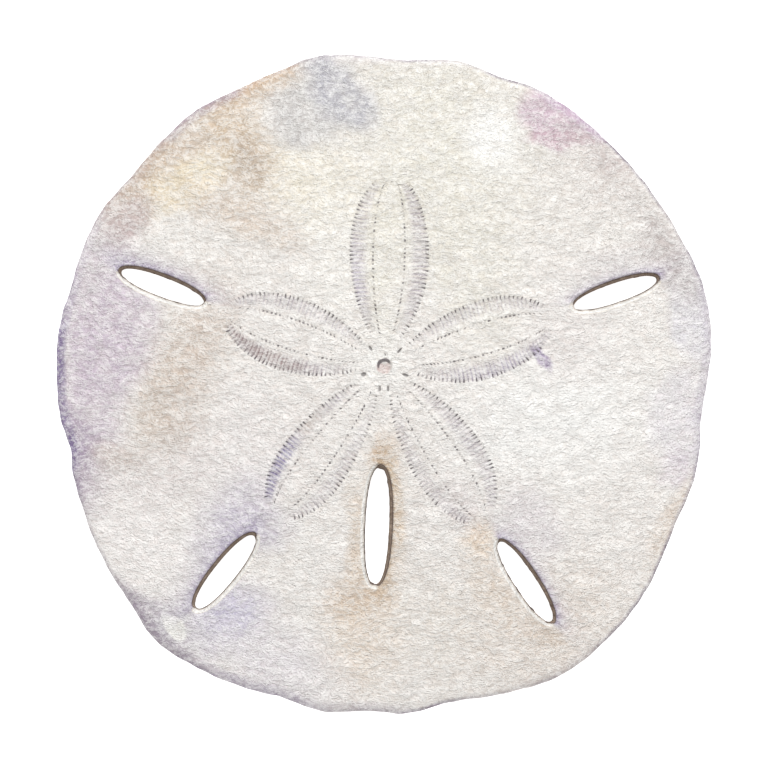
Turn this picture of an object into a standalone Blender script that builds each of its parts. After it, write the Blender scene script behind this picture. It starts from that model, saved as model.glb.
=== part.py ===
"""A keyhole sand dollar: the bare test (shell) of a flat urchin, lying on its mouth side.

The test is one piece. It is a thin, gently domed disc with a blunt margin, cut through by five slots
(lunules). Its upper side carries five petals, each edged by two sunken pore bands, round a small apical
plate with a pit and six pores. Its flat underside has the mouth, the vent and the forked food grooves.

Frame: +Z up, +Y to the front, the origin under the disc's middle, on the surface that it rests on.
"""

import math
from typing import NamedTuple

import bmesh
import bpy
import numpy as np

MM = 0.001


class Row(NamedTuple):
    """An outer pore row: its reach from the axis at its widest, and the share of the petal where that is."""
    reach: float
    widest: float


class Petal(NamedTuple):
    """A petal: its axis' azimuth in degrees, its length, and the rows to the left and right of the axis."""
    azimuth: float
    length: float
    left: Row
    right: Row


class Lunule(NamedTuple):
    """A slot: its middle, its long axis' azimuth in degrees, and the length and width of its throat."""
    x: float
    y: float
    azimuth: float
    length: float
    width: float


class Pit(NamedTuple):
    """A rounded pit: its middle, its long axis' azimuth in degrees, its length, width and depth."""
    x: float
    y: float
    azimuth: float
    length: float
    width: float
    depth: float


# The disc: the turned blank, and the dome and blunt margin that it is given
BLANK_RADIUS = 45.0 * MM
HEIGHT = 9.5 * MM
MARGIN_HEIGHT = 2.5 * MM
MARGIN_DEPTH = 1.5 * MM
MARGIN_MIDDLE = 1.15 * MM
DOME_POWER = 1.7
TURNED_STEPS = 108
DOME_RINGS = 11
NOSE_RINGS = 3

# The middle of the apical plate, a little in front of the middle of the disc
APEX = (0.1 * MM, 2.5 * MM)

# The margin seen from above: azimuth from +X in degrees, and distance from the disc's middle in millimetres.
# A smooth closed curve runs through them. Each worn bulge and dip of the margin has its own few points.
MARGIN = (
    (1, 44.5), (7, 45.3), (17, 45.9), (28, 45.4), (46, 45.3), (62, 45.7), (70, 45.1), (75, 45.5), (79, 45.4),
    (87, 44.6), (98, 45.7), (103, 45.9), (107, 45.5), (115, 45.2), (126, 45.6), (131, 45.3), (140, 44.9),
    (149, 45.5), (163, 45.0), (169, 45.2), (180, 44.9), (186, 44.6), (192, 43.9), (196, 44.4), (204, 44.8),
    (209, 45.2), (215, 45.6), (221, 46.0), (228, 47.1), (234, 46.8), (246, 45.8), (252, 45.2), (260, 45.7),
    (267, 44.9), (274, 45.3), (281, 44.6), (286, 44.9), (293, 45.8), (302, 46.8), (312, 46.5), (322, 45.8),
    (334, 44.4), (343, 44.6), (348, 44.3), (354, 43.8),
)

# The margin's top isn't level: each wave's height, the number of them round the disc, and their phase
MARGIN_WAVES = ((0.13 * MM, 5, 0.7), (0.09 * MM, 11, 2.1))

PETALS = {
    "front": Petal(87.9, 25.6 * MM, Row(5.1 * MM, 0.63), Row(5.3 * MM, 0.56)),
    "right": Petal(15.7, 23.4 * MM, Row(4.9 * MM, 0.65), Row(5.3 * MM, 0.56)),
    "rear_right": Petal(-57.4, 24.7 * MM, Row(5.25 * MM, 0.66), Row(4.5 * MM, 0.66)),
    "rear_left": Petal(-126.5, 24.9 * MM, Row(4.6 * MM, 0.7), Row(4.5 * MM, 0.68)),
    "left": Petal(161.2, 22.6 * MM, Row(4.95 * MM, 0.61), Row(4.8 * MM, 0.6)),
}
# Shares of a petal's length: where its rows would meet at the apex, where they begin, end and would close
ROWS_MEET = 0.095
ROWS_BEGIN = 0.13
ROWS_END = 0.985
ROWS_CLOSE = 1.03
ROW_OPENING = 1.8
ROW_FULLNESS = 1.5

# The sunken band inside an outer row: its middle and half-width as shares of the row's reach, and its depth
BAND_MIDDLE = 0.79
BAND_HALF_WIDTH = 0.2
BAND_LEAST_HALF_WIDTH = 0.3 * MM
BAND_DEPTH = 0.26 * MM
BAND_POINTS = 13
BAND_SMOOTHNESS = 4

LUNULES = {
    "left": Lunule(-30.3 * MM, 13.3 * MM, 159.2, 12.0 * MM, 2.8 * MM),
    "right": Lunule(31.7 * MM, 12.5 * MM, 18.7, 11.9 * MM, 2.75 * MM),
    "rear_left": Lunule(-21.7 * MM, -25.7 * MM, 231.3, 12.6 * MM, 3.05 * MM),
    "rear_right": Lunule(19.35 * MM, -27.05 * MM, -56.6, 12.95 * MM, 3.0 * MM),
    "rear": Lunule(-0.95 * MM, -19.4 * MM, 267.6, 15.95 * MM, 3.45 * MM),
}
# A slot's rounded lips: how far each flares, and how deep it reaches into the wall
LIP_FLARE = 0.65 * MM
LIP_DEPTH = 1.1 * MM
LIP_RINGS = (1.0, 0.5, 0.2, 0.0)
UNDER_FLARE = 0.45 * MM
UNDER_DEPTH = 0.7 * MM
LUNULE_STEPS = 26

# The apical plate: its pit and its six pores, each placed from the apex
APICAL_PITS = {
    "centre": Pit(0.0, 0.0, 0, 2.1 * MM, 2.1 * MM, 0.55 * MM),
    "front_left": Pit(-1.95 * MM, 2.45 * MM, 125, 0.85 * MM, 0.42 * MM, 0.4 * MM),
    "front_right": Pit(2.05 * MM, 2.1 * MM, 52, 0.9 * MM, 0.4 * MM, 0.4 * MM),
    "left": Pit(-2.85 * MM, -1.15 * MM, 13, 0.85 * MM, 0.5 * MM, 0.4 * MM),
    "right": Pit(2.85 * MM, -1.25 * MM, -18, 0.95 * MM, 0.42 * MM, 0.4 * MM),
    "rear_left": Pit(-0.7 * MM, -3.15 * MM, 87, 0.85 * MM, 0.4 * MM, 0.4 * MM),
    "rear_right": Pit(0.5 * MM, -3.15 * MM, 93, 0.85 * MM, 0.4 * MM, 0.4 * MM),
}

# The underside: the mouth, the vent just in front of the rear slot, and the food grooves
MOUTH = Pit(0.1 * MM, 1.6 * MM, 0, 3.8 * MM, 3.8 * MM, 2.6 * MM)
VENT = Pit(-0.5 * MM, -8.4 * MM, 90, 2.4 * MM, 1.7 * MM, 1.2 * MM)
GROOVE_RADIUS = 0.45 * MM
GROOVE_DEPTH = 0.26 * MM
GROOVE_SMOOTHNESS = 1
# A groove's way out: distance from the mouth in millimetres, and degrees to the side of the petal's azimuth.
# Each petal's trunk forks into two, and each fork has a twig on its near half and one on its far half.
TRUNK = ((1.2, 0), (6.5, 0))
FORK = ((6.2, 0), (9, 9), (14, 14), (20, 15.5), (27, 15), (34, 14), (39.5, 15.5))
NEAR_TWIG = ((14, 14), (19, 20), (25, 23), (31, 24.5))
FAR_TWIG = ((24, 15.2), (29, 19.5), (35, 22.5), (39, 23))

# The chalky, sun-bleached test
TEST_COLOUR = (0.80, 0.76, 0.71, 1.0)
TEST_ROUGHNESS = 0.85
SHARP_ANGLE = 35

# Points closer than this are one point, and a surface lower than this is the underside
NEAR = 0.001 * MM


def clear_scene():
    """Removes what the startup scene holds."""
    for obj in list(bpy.data.objects):
        bpy.data.objects.remove(obj)


def new_collection(name):
    collection = bpy.data.collections.new(name)
    bpy.context.scene.collection.children.link(collection)
    return collection


def mesh_object(name, mesh, collection):
    obj = bpy.data.objects.new(name, mesh)
    collection.objects.link(obj)
    return obj


def as_mesh(obj, collection):
    """Turns a curve, or an object with modifiers, into a plain closed mesh object."""
    bpy.context.view_layer.update()
    graph = bpy.context.evaluated_depsgraph_get()
    mesh = bpy.data.meshes.new_from_object(obj.evaluated_get(graph))
    bm = bmesh.new()
    bm.from_mesh(mesh)
    bmesh.ops.remove_doubles(bm, verts=bm.verts, dist=NEAR)
    bm.to_mesh(mesh)
    bm.free()
    solid = mesh_object(obj.name + "_solid", mesh, collection)
    solid.matrix_world = obj.matrix_world
    bpy.data.objects.remove(obj)
    return solid


def margin_radius(azimuth):
    """Distance from the disc's middle to the margin, by a cubic through the stations; azimuth in radians."""
    stations = np.array(MARGIN, float)
    turn = 360.0
    az = np.concatenate([stations[-2:, 0] - turn, stations[:, 0], stations[:3, 0] + turn])
    reach = np.concatenate([stations[-2:, 1], stations[:, 1], stations[:3, 1]])
    slope = np.zeros_like(reach)
    slope[1:-1] = (reach[2:] - reach[:-2]) / (az[2:] - az[:-2])
    degrees = np.degrees(azimuth) % turn
    i = np.searchsorted(az, degrees, side="right") - 1
    span = az[i + 1] - az[i]
    u = (degrees - az[i]) / span
    value = (
        (2 * u**3 - 3 * u**2 + 1) * reach[i]
        + (u**3 - 2 * u**2 + u) * span * slope[i]
        + (3 * u**2 - 2 * u**3) * reach[i + 1]
        + (u**3 - u**2) * span * slope[i + 1]
    )
    return value * MM


def plan_point(share, azimuth):
    """The point at a share of the way from the apex (0) to the margin (1), towards an azimuth of the disc."""
    reach = share * margin_radius(azimuth)
    lean = 1 - share**2
    return APEX[0] * lean + reach * np.cos(azimuth), APEX[1] * lean + reach * np.sin(azimuth)


def share_at(x, y):
    """The share of the way from the apex to the margin at a point of the plan, corrected step by step."""
    share = np.hypot(x - APEX[0], y - APEX[1]) / BLANK_RADIUS
    for _ in range(6):
        lean = 1 - share**2
        away_x, away_y = x - APEX[0] * lean, y - APEX[1] * lean
        share = np.hypot(away_x, away_y) / margin_radius(np.arctan2(away_y, away_x))
    return share


def dome_height(share, azimuth):
    """Height of the upper side: a low dome that falls from the apex to the uneven top of the margin."""
    wave = sum(height * np.sin(count * azimuth + phase) for height, count, phase in MARGIN_WAVES)
    return MARGIN_HEIGHT + wave * share**3 + (HEIGHT - MARGIN_HEIGHT) * (1 - share**DOME_POWER)


def height_at(x, y):
    """Height of the upper side over a point of the plan."""
    return float(dome_height(share_at(x, y), np.arctan2(y, x)))


def test_profile():
    """Half the disc's section, from the top of the blank round the blunt margin to the middle underneath."""
    shoulder = BLANK_RADIUS - MARGIN_DEPTH
    upper_half = MARGIN_HEIGHT - MARGIN_MIDDLE
    crown = [(shoulder * i / DOME_RINGS, HEIGHT) for i in range(DOME_RINGS)]
    angles = [math.pi / 2 * i / NOSE_RINGS for i in range(NOSE_RINGS + 1)]
    upper = [
        (shoulder + MARGIN_DEPTH * math.sin(a), MARGIN_MIDDLE + upper_half * math.cos(a))
        for a in angles
    ]
    lower = [
        (shoulder + MARGIN_DEPTH * math.cos(a), MARGIN_MIDDLE * (1 - math.sin(a)))
        for a in angles[1:]
    ]
    return crown + upper + lower + [(0.0, 0.0)]


def turned_disc(collection):
    """The disc before it is shaped: the profile turned about Z."""
    points = test_profile()
    mesh = bpy.data.meshes.new("profile")
    edges = [(i, i + 1) for i in range(len(points) - 1)]
    mesh.from_pydata([(x, 0.0, z) for x, z in points], edges, [])
    obj = mesh_object("turned_disc", mesh, collection)
    screw = obj.modifiers.new("Turn", "SCREW")
    screw.axis = "Z"
    screw.steps = TURNED_STEPS
    screw.render_steps = TURNED_STEPS
    screw.use_merge_vertices = True
    screw.merge_threshold = NEAR
    return as_mesh(obj, collection)


def shape_disc(disc):
    """Gives the turned disc its worn, wavy margin and its dome, with the apex a little to the front."""
    mesh = disc.data
    co = np.empty(len(mesh.vertices) * 3)
    mesh.vertices.foreach_get("co", co)
    co = co.reshape(-1, 3)
    azimuth = np.arctan2(co[:, 1], co[:, 0])
    share = np.hypot(co[:, 0], co[:, 1]) / BLANK_RADIUS
    on_dome = co[:, 2] > MARGIN_HEIGHT - NEAR
    dome = dome_height(share, azimuth)
    nose_top = dome_height(1 - MARGIN_DEPTH / BLANK_RADIUS, azimuth)
    rise = (co[:, 2] - MARGIN_MIDDLE) / (MARGIN_HEIGHT - MARGIN_MIDDLE)
    nose = MARGIN_MIDDLE + rise * (nose_top - MARGIN_MIDDLE)
    height = np.where(on_dome, dome, np.where(rise > 0, nose, co[:, 2]))
    co[:, 0], co[:, 1] = plan_point(share, azimuth)
    co[:, 2] = height
    mesh.vertices.foreach_set("co", co.ravel())
    mesh.update()


def join_flat_underside(disc):
    """Makes the flat underside one face, so that the grooves are cut in a single plane."""
    bm = bmesh.new()
    bm.from_mesh(disc.data)
    under = [f for f in bm.faces if all(abs(v.co.z) < NEAR for v in f.verts)]
    bmesh.ops.dissolve_faces(bm, faces=under)
    bmesh.ops.recalc_face_normals(bm, faces=bm.faces)
    bm.to_mesh(disc.data)
    bm.free()


def lunule_rings(lunule):
    """Half-length, half-width and height of each ring of a slot's cutter, from under the test to above it.

    A height is measured from the underside, or from the dome where the fourth value says so.
    """
    rings = [(UNDER_FLARE * 2, -UNDER_DEPTH, False), (UNDER_FLARE, 0.0, False), (0.0, UNDER_DEPTH, False)]
    for share in LIP_RINGS:
        flare = LIP_FLARE * (1 - math.sqrt(1 - (1 - share) ** 2))
        rings.append((flare, -LIP_DEPTH * share, True))
    rings.append((LIP_FLARE * 3, LIP_DEPTH, True))
    return [(lunule.length / 2 + flare, lunule.width / 2 + flare, z, on_dome) for flare, z, on_dome in rings]


def lunule_cutter(name, lunule, collection):
    """A slot's cutter: ellipses joined one above the other, flared at the dome and at the underside."""
    turn = math.radians(lunule.azimuth)
    bm = bmesh.new()
    last = None
    for half_length, half_width, z, on_dome in lunule_rings(lunule):
        made = bmesh.ops.create_circle(bm, segments=LUNULE_STEPS, radius=1.0)
        for vert in made["verts"]:
            along, across = vert.co.x * half_length, vert.co.y * half_width
            x = lunule.x + along * math.cos(turn) - across * math.sin(turn)
            y = lunule.y + along * math.sin(turn) + across * math.cos(turn)
            vert.co = (x, y, z + (height_at(x, y) if on_dome else 0.0))
        ring = list(dict.fromkeys(e for v in made["verts"] for e in v.link_edges))
        if last:
            bmesh.ops.bridge_loops(bm, edges=last + ring)
        last = ring
    bmesh.ops.holes_fill(bm, edges=bm.edges, sides=LUNULE_STEPS)
    bmesh.ops.recalc_face_normals(bm, faces=bm.faces)
    mesh = bpy.data.meshes.new(name)
    bm.to_mesh(mesh)
    bm.free()
    mesh_object(name, mesh, collection)


def row_reach(share, row):
    """How far a petal's pore row stands from its axis, at a share of the petal's length.

    It opens slimly to its widest, and then follows a quarter ellipse, which it leaves before that closes.
    """
    if share < row.widest:
        x = (row.widest - share) / (row.widest - ROWS_MEET)
        return row.reach * max(0.0, 1 - x**ROW_OPENING) ** (1 / ROW_FULLNESS)
    x = (share - row.widest) / (ROWS_CLOSE - row.widest)
    return row.reach * math.sqrt(max(0.0, 1 - x**2))


def petal_point(azimuth, along, across):
    """A point of the plan, from its place along and to the left of a petal's axis."""
    turn = math.radians(azimuth)
    x = APEX[0] + along * math.cos(turn) - across * math.sin(turn)
    y = APEX[1] + along * math.sin(turn) + across * math.cos(turn)
    return x, y


def tube(name, points, radii, smoothness, collection):
    """A round tube through the points, with a radius for each, as a closed mesh."""
    curve = bpy.data.curves.new(name, "CURVE")
    curve.dimensions = "3D"
    curve.bevel_depth = MM
    curve.bevel_resolution = smoothness
    curve.use_fill_caps = True
    spline = curve.splines.new("POLY")
    spline.points.add(len(points) - 1)
    for point, place, radius in zip(spline.points, points, radii):
        point.co = (*place, 1.0)
        point.radius = radius / MM
    obj = mesh_object(name, curve, collection)
    return as_mesh(obj, collection)


def band_cutter(name, petal, side, collection):
    """Cuts one sunken pore band: a wide tube that dips into the dome, wider where the petal is wider."""
    row = petal.left if side > 0 else petal.right
    points, radii = [], []
    for i in range(BAND_POINTS):
        share = ROWS_BEGIN + (ROWS_END - ROWS_BEGIN) * i / (BAND_POINTS - 1)
        reach = row_reach(share, row)
        half_width = max(BAND_HALF_WIDTH * reach, BAND_LEAST_HALF_WIDTH)
        radius = (half_width**2 + BAND_DEPTH**2) / (2 * BAND_DEPTH)
        x, y = petal_point(petal.azimuth, share * petal.length, side * BAND_MIDDLE * reach)
        points.append((x, y, height_at(x, y) + radius - BAND_DEPTH))
        radii.append(radius)
    tube(name, points, radii, BAND_SMOOTHNESS, collection)


def pit_cutter(name, pit, z, collection):
    """A rounded pit's cutter: a ball drawn out to the pit's sizes, centred on the surface at height z."""
    place = (pit.x, pit.y, z)
    bpy.ops.mesh.primitive_uv_sphere_add(segments=12, ring_count=6, radius=1.0, location=place)
    ball = bpy.context.active_object
    ball.name = name
    ball.rotation_euler = (0, 0, math.radians(pit.azimuth))
    ball.scale = (pit.length / 2, pit.width / 2, pit.depth)
    for holder in list(ball.users_collection):
        holder.objects.unlink(ball)
    collection.objects.link(ball)


def groove_cutter(name, azimuth, way, side, collection):
    """Cuts one stretch of a food groove in the underside, along a way out from the mouth."""
    points = []
    for distance, off in way:
        turn = math.radians(azimuth + side * off)
        x = MOUTH.x + distance * MM * math.cos(turn)
        y = MOUTH.y + distance * MM * math.sin(turn)
        points.append((x, y, GROOVE_DEPTH - GROOVE_RADIUS))
    tube(name, points, [GROOVE_RADIUS] * len(points), GROOVE_SMOOTHNESS, collection)


def add_upper_cutters(collection):
    """The slots, the pore bands and the pits of the apical plate."""
    for name, lunule in LUNULES.items():
        lunule_cutter("lunule_" + name, lunule, collection)
    for name, petal in PETALS.items():
        band_cutter(f"band_{name}_left", petal, 1, collection)
        band_cutter(f"band_{name}_right", petal, -1, collection)
    for name, pit in APICAL_PITS.items():
        placed = pit._replace(x=APEX[0] + pit.x, y=APEX[1] + pit.y)
        pit_cutter("pit_" + name, placed, height_at(placed.x, placed.y), collection)


def add_under_cutters(collection):
    """The mouth, the vent and the food grooves."""
    pit_cutter("mouth", MOUTH, 0.0, collection)
    pit_cutter("vent", VENT, 0.0, collection)
    for name, petal in PETALS.items():
        groove_cutter(f"groove_{name}", petal.azimuth, TRUNK, 1, collection)
        for side, word in ((1, "left"), (-1, "right")):
            for part, way in (("fork", FORK), ("near_twig", NEAR_TWIG), ("far_twig", FAR_TWIG)):
                groove_cutter(f"groove_{name}_{word}_{part}", petal.azimuth, way, side, collection)


def hide_cutters(collection):
    for obj in collection.objects:
        obj.hide_render = True
        obj.display_type = "WIRE"


def test_material():
    """Matt, chalky, off-white test."""
    material = bpy.data.materials.new("chalky_test")
    material.use_nodes = True
    shader = material.node_tree.nodes["Principled BSDF"]
    shader.inputs["Base Color"].default_value = TEST_COLOUR
    shader.inputs["Roughness"].default_value = TEST_ROUGHNESS
    shader.inputs["Metallic"].default_value = 0.0
    return material


def build():
    clear_scene()
    parts = new_collection("sand_dollar")
    cutters = new_collection("cutters")
    test = turned_disc(parts)
    test.name = "test"
    shape_disc(test)
    join_flat_underside(test)
    add_upper_cutters(cutters)
    add_under_cutters(cutters)
    hide_cutters(cutters)
    cut = test.modifiers.new("Slots, bands, pits and grooves", "BOOLEAN")
    cut.operation = "DIFFERENCE"
    cut.operand_type = "COLLECTION"
    cut.collection = cutters
    test.data.materials.append(test_material())
    test.data.shade_smooth()
    test.data.set_sharp_from_angle(angle=math.radians(SHARP_ANGLE))


build()
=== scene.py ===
"""The looks of a keyhole sand dollar: its worn, chalky skin, with every slit pore, in place of the solid.

Sizes and places are in millimetres, in the frame of the solid: +Z up, +Y to the front, the origin under the
disc's middle. They become metres when the mesh, the lights and the camera are made.
"""
import logging
import math
from dataclasses import dataclass, field, replace
from enum import Enum
from typing import NamedTuple

import bpy
import numpy as np
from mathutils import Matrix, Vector
from mathutils.geometry import delaunay_2d_cdt


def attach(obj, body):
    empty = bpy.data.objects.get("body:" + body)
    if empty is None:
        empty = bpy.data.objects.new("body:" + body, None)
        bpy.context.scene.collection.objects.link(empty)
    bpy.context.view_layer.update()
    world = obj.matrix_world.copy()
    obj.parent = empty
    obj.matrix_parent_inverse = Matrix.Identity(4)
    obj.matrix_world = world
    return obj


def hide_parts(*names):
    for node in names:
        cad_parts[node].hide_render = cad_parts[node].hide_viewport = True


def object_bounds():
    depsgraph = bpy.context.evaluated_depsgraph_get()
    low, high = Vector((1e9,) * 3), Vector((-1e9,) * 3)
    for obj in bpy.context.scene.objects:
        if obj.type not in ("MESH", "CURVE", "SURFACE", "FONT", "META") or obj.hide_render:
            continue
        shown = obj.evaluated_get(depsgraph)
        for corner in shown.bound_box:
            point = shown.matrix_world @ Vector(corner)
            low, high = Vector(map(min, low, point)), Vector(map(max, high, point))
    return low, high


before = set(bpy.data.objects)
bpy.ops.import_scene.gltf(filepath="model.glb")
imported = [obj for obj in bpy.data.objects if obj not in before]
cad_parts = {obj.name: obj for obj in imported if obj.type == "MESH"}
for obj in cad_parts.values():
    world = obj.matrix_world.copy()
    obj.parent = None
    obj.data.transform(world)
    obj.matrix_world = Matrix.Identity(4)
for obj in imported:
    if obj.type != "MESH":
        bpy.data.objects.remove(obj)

LOG = logging.getLogger("sand_dollar")
MM = 0.001
CAD_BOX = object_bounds()
TURN = 2 * math.pi
# Half the width of the square that the skin's points are laid out in.
FIELD = 50.0
Colour = tuple[float, float, float]
Socket = bpy.types.NodeSocket
WHITE = (1.0, 1.0, 1.0, 1.0)


class Mask(Enum):
    """What a point of the skin belongs to, from 0 to 1. The finish reads each as an attribute so named."""
    PORE = "pore"
    BAND = "band"
    WALL = "wall"
    LIP = "lip"
    LILAC_HALO = "lilac_halo"
    OCHRE_HALO = "ochre_halo"
    RIM_SHADE = "rim_shade"
    EDGE = "edge"
    GROOVE = "groove"
    UNDER = "under"


class Side(Enum):
    """The side of a petal's axis that a pore row is on, looking out from the apex."""
    LEFT = 1
    RIGHT = -1


def smooth(low: float, high: float, value: np.ndarray) -> np.ndarray:
    """A soft step.

    Args:
        low: The value where the step is 0.
        high: The value where it is 1, which may be the lower of the two.
        value: The values to step.

    Returns:
        3t squared less 2t cubed, with t the clamped share of the way from low to high.
    """
    t = np.clip((value - low) / (high - low), 0.0, 1.0)
    return t * t * (3 - 2 * t)


def linear(red: int, green: int, blue: int) -> tuple[float, float, float, float]:
    """A screen colour as the linear colour that a shader takes.

    Args:
        red: Its red, from 0 to 255.
        green: Its green.
        blue: Its blue.

    Returns:
        Red, green, blue and an alpha of 1, by the power 2.4 curve of sRGB.
    """
    shares = (c / 255 for c in (red, green, blue))
    r, g, b = (c / 12.92 if c <= 0.04045 else ((c + 0.055) / 1.055) ** 2.4 for c in shares)
    return (r, g, b, 1.0)


def inside(x: np.ndarray, y: np.ndarray, loop: np.ndarray) -> np.ndarray:
    """Whether points lie inside a closed outline.

    Args:
        x: The points' X.
        y: The points' Y.
        loop: The outline's corners, one row each.

    Returns:
        True where a ray from the point towards +X crosses the outline an odd number of times.
    """
    low, high = loop.min(0), loop.max(0)
    near = (x > low[0]) & (x < high[0]) & (y > low[1]) & (y < high[1])
    px, py = x[near][:, None], y[near][:, None]
    ax, ay = loop[:, 0], loop[:, 1]
    bx, by = np.roll(ax, -1), np.roll(ay, -1)
    spans = (ay > py) != (by > py)
    run = np.where(by == ay, 1.0, by - ay)
    crossed = spans & (px < ax + (py - ay) * (bx - ax) / run)
    result = np.zeros(x.shape, bool)
    result[near] = crossed.sum(1) % 2 == 1
    return result


@dataclass(frozen=True)
class Ripple:
    """A random even surface: the sum of many plane waves with seeded directions and phases.

    Attributes:
        seed: Fixes the waves.
        length_x: The usual distance between crests along X.
        length_y: The usual distance between crests along Y.
        spread: How much a wave's length differs from the usual, as a share.
        count: How many waves are summed.
    """
    seed: int
    length_x: float
    length_y: float
    spread: float = 0.35
    count: int = 48

    def at(self, x: np.ndarray, y: np.ndarray) -> np.ndarray:
        """The surface's height.

        Args:
            x: The points' X.
            y: The points' Y.

        Returns:
            The sum of the cosines of kx x + ky y + phase, divided by the root of their number.
        """
        rng = np.random.default_rng(self.seed)
        bearing = rng.uniform(0, TURN, self.count)
        stretch = 1 + self.spread * rng.uniform(-1, 1, self.count)
        kx = TURN / self.length_x * np.cos(bearing) * stretch
        ky = TURN / self.length_y * np.sin(bearing) * stretch
        phase = rng.uniform(0, TURN, self.count)
        total = np.zeros(np.shape(x))
        for wave in zip(kx, ky, phase):
            total += np.cos(wave[0] * x + wave[1] * y + wave[2])
        return total / math.sqrt(self.count)


@dataclass(frozen=True)
class Disc:
    """The test's plan, dome and blunt margin.

    Attributes:
        apex: The middle of the apical plate.
        radius: The distance from the middle to the margin that a share of 1 stands for on an even disc.
        height: The top of the dome, just under the solid's.
        margin_height: The height of the margin's top.
        nose_depth: How far in from the edge the margin starts to round.
        nose_middle: The height of the margin's outermost line.
        dome_power: The dome falls by this power of the share of the way out.
        inset: How far the skin's edge keeps inside the solid's.
        wear: How deep the finest nicks in the edge are.
        stations: Azimuth in degrees and distance from the middle, for each bulge and dip of the worn margin.
        waves: The height, the number round the disc and the phase of each wave of the margin's top.
    """
    apex: tuple[float, float] = (0.1, 2.5)
    radius: float = 45.0
    height: float = CAD_BOX[1].z / MM - 0.115
    margin_height: float = 2.5
    nose_depth: float = 1.5
    nose_middle: float = 1.15
    dome_power: float = 1.7
    inset: float = 0.03
    wear: float = 0.1
    stations: tuple[tuple[float, float], ...] = (
        (1, 44.5), (7, 45.3), (17, 45.9), (28, 45.4), (46, 45.3), (62, 45.7), (70, 45.1),
        (75, 45.5), (79, 45.4), (87, 44.6), (98, 45.7), (103, 45.9), (107, 45.5), (115, 45.2),
        (126, 45.6), (131, 45.3), (140, 44.9), (149, 45.5), (163, 45.0), (169, 45.2), (180, 44.9),
        (186, 44.6), (192, 43.9), (196, 44.4), (204, 44.8), (209, 45.2), (215, 45.6), (221, 46.0),
        (228, 47.1), (234, 46.8), (246, 45.8), (252, 45.2), (260, 45.7), (267, 44.9), (274, 45.3),
        (281, 44.6), (286, 44.9), (293, 45.8), (302, 46.8), (312, 46.5), (322, 45.8), (334, 44.4),
        (343, 44.6), (348, 44.3), (354, 43.8),
    )
    waves: tuple[tuple[float, int, float], ...] = ((0.13, 5, 0.7), (0.09, 11, 2.1))

    @property
    def shoulder(self) -> float:
        """The share of the way out where the margin starts to round."""
        return 1 - self.nose_depth / self.radius

    def nicks(self, azimuth: np.ndarray) -> np.ndarray:
        """The fine wear of the edge.

        Args:
            azimuth: The directions from the middle, in radians.

        Returns:
            0 to 1: seeded cosines of whole numbers of turns, so that the edge closes, added and halved.
        """
        rng = np.random.default_rng(5)
        turns = rng.integers(18, 110, 24)
        phases = rng.uniform(0, TURN, turns.size)
        total = np.cos(np.multiply.outer(azimuth, turns) + phases).sum(-1) / math.sqrt(turns.size)
        return np.clip(0.5 + 0.5 * total, 0, 1)

    def reach(self, azimuth: np.ndarray) -> np.ndarray:
        """The distance from the middle to the edge.

        Args:
            azimuth: The directions from the middle, in radians.

        Returns:
            A cubic through the stations with the slopes of their chords, less the inset and the nicks.
        """
        degrees, radii = np.array(self.stations, float).T
        az = np.concatenate([degrees[-2:] - 360, degrees, degrees[:3] + 360])
        reach = np.concatenate([radii[-2:], radii, radii[:3]])
        slope = np.zeros_like(reach)
        slope[1:-1] = (reach[2:] - reach[:-2]) / (az[2:] - az[:-2])
        at = np.degrees(azimuth) % 360
        i = np.searchsorted(az, at, side="right") - 1
        span = az[i + 1] - az[i]
        u = (at - az[i]) / span
        even = (
            (2 * u**3 - 3 * u**2 + 1) * reach[i]
            + (u**3 - 2 * u**2 + u) * span * slope[i]
            + (3 * u**2 - 2 * u**3) * reach[i + 1]
            + (u**3 - u**2) * span * slope[i + 1]
        )
        return even - self.inset - self.wear * self.nicks(azimuth)

    def plan(self, share: np.ndarray, azimuth: np.ndarray) -> tuple[np.ndarray, np.ndarray]:
        """The place at a share of the way out, along a straight line that leans from the apex to the middle.

        Args:
            share: 0 at the apex and 1 at the edge.
            azimuth: The direction from the middle, in radians.

        Returns:
            X and Y.
        """
        out, lean = share * self.reach(azimuth), 1 - share**2
        return self.apex[0] * lean + out * np.cos(azimuth), self.apex[1] * lean + out * np.sin(azimuth)

    def share(self, x: np.ndarray, y: np.ndarray) -> np.ndarray:
        """How far out points of the plan lie.

        Args:
            x: The points' X.
            y: The points' Y.

        Returns:
            The share of the way out, which is plan() turned round by six corrections.
        """
        share = np.hypot(x - self.apex[0], y - self.apex[1]) / self.radius
        for _ in range(6):
            lean = 1 - share**2
            away_x, away_y = x - self.apex[0] * lean, y - self.apex[1] * lean
            share = np.hypot(away_x, away_y) / self.reach(np.arctan2(away_y, away_x))
        return share

    def dome(self, share: np.ndarray, azimuth: np.ndarray) -> np.ndarray:
        """The height of the unworn upper side.

        Args:
            share: The share of the way out.
            azimuth: The direction from the middle, in radians.

        Returns:
            The wavy margin's top, plus a dome that falls by a power of the share.
        """
        wave = sum(height * np.sin(count * azimuth + phase) for height, count, phase in self.waves)
        rise = (self.height - self.margin_height) * (1 - share**self.dome_power)
        return self.margin_height + wave * share**3 + rise


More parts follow.
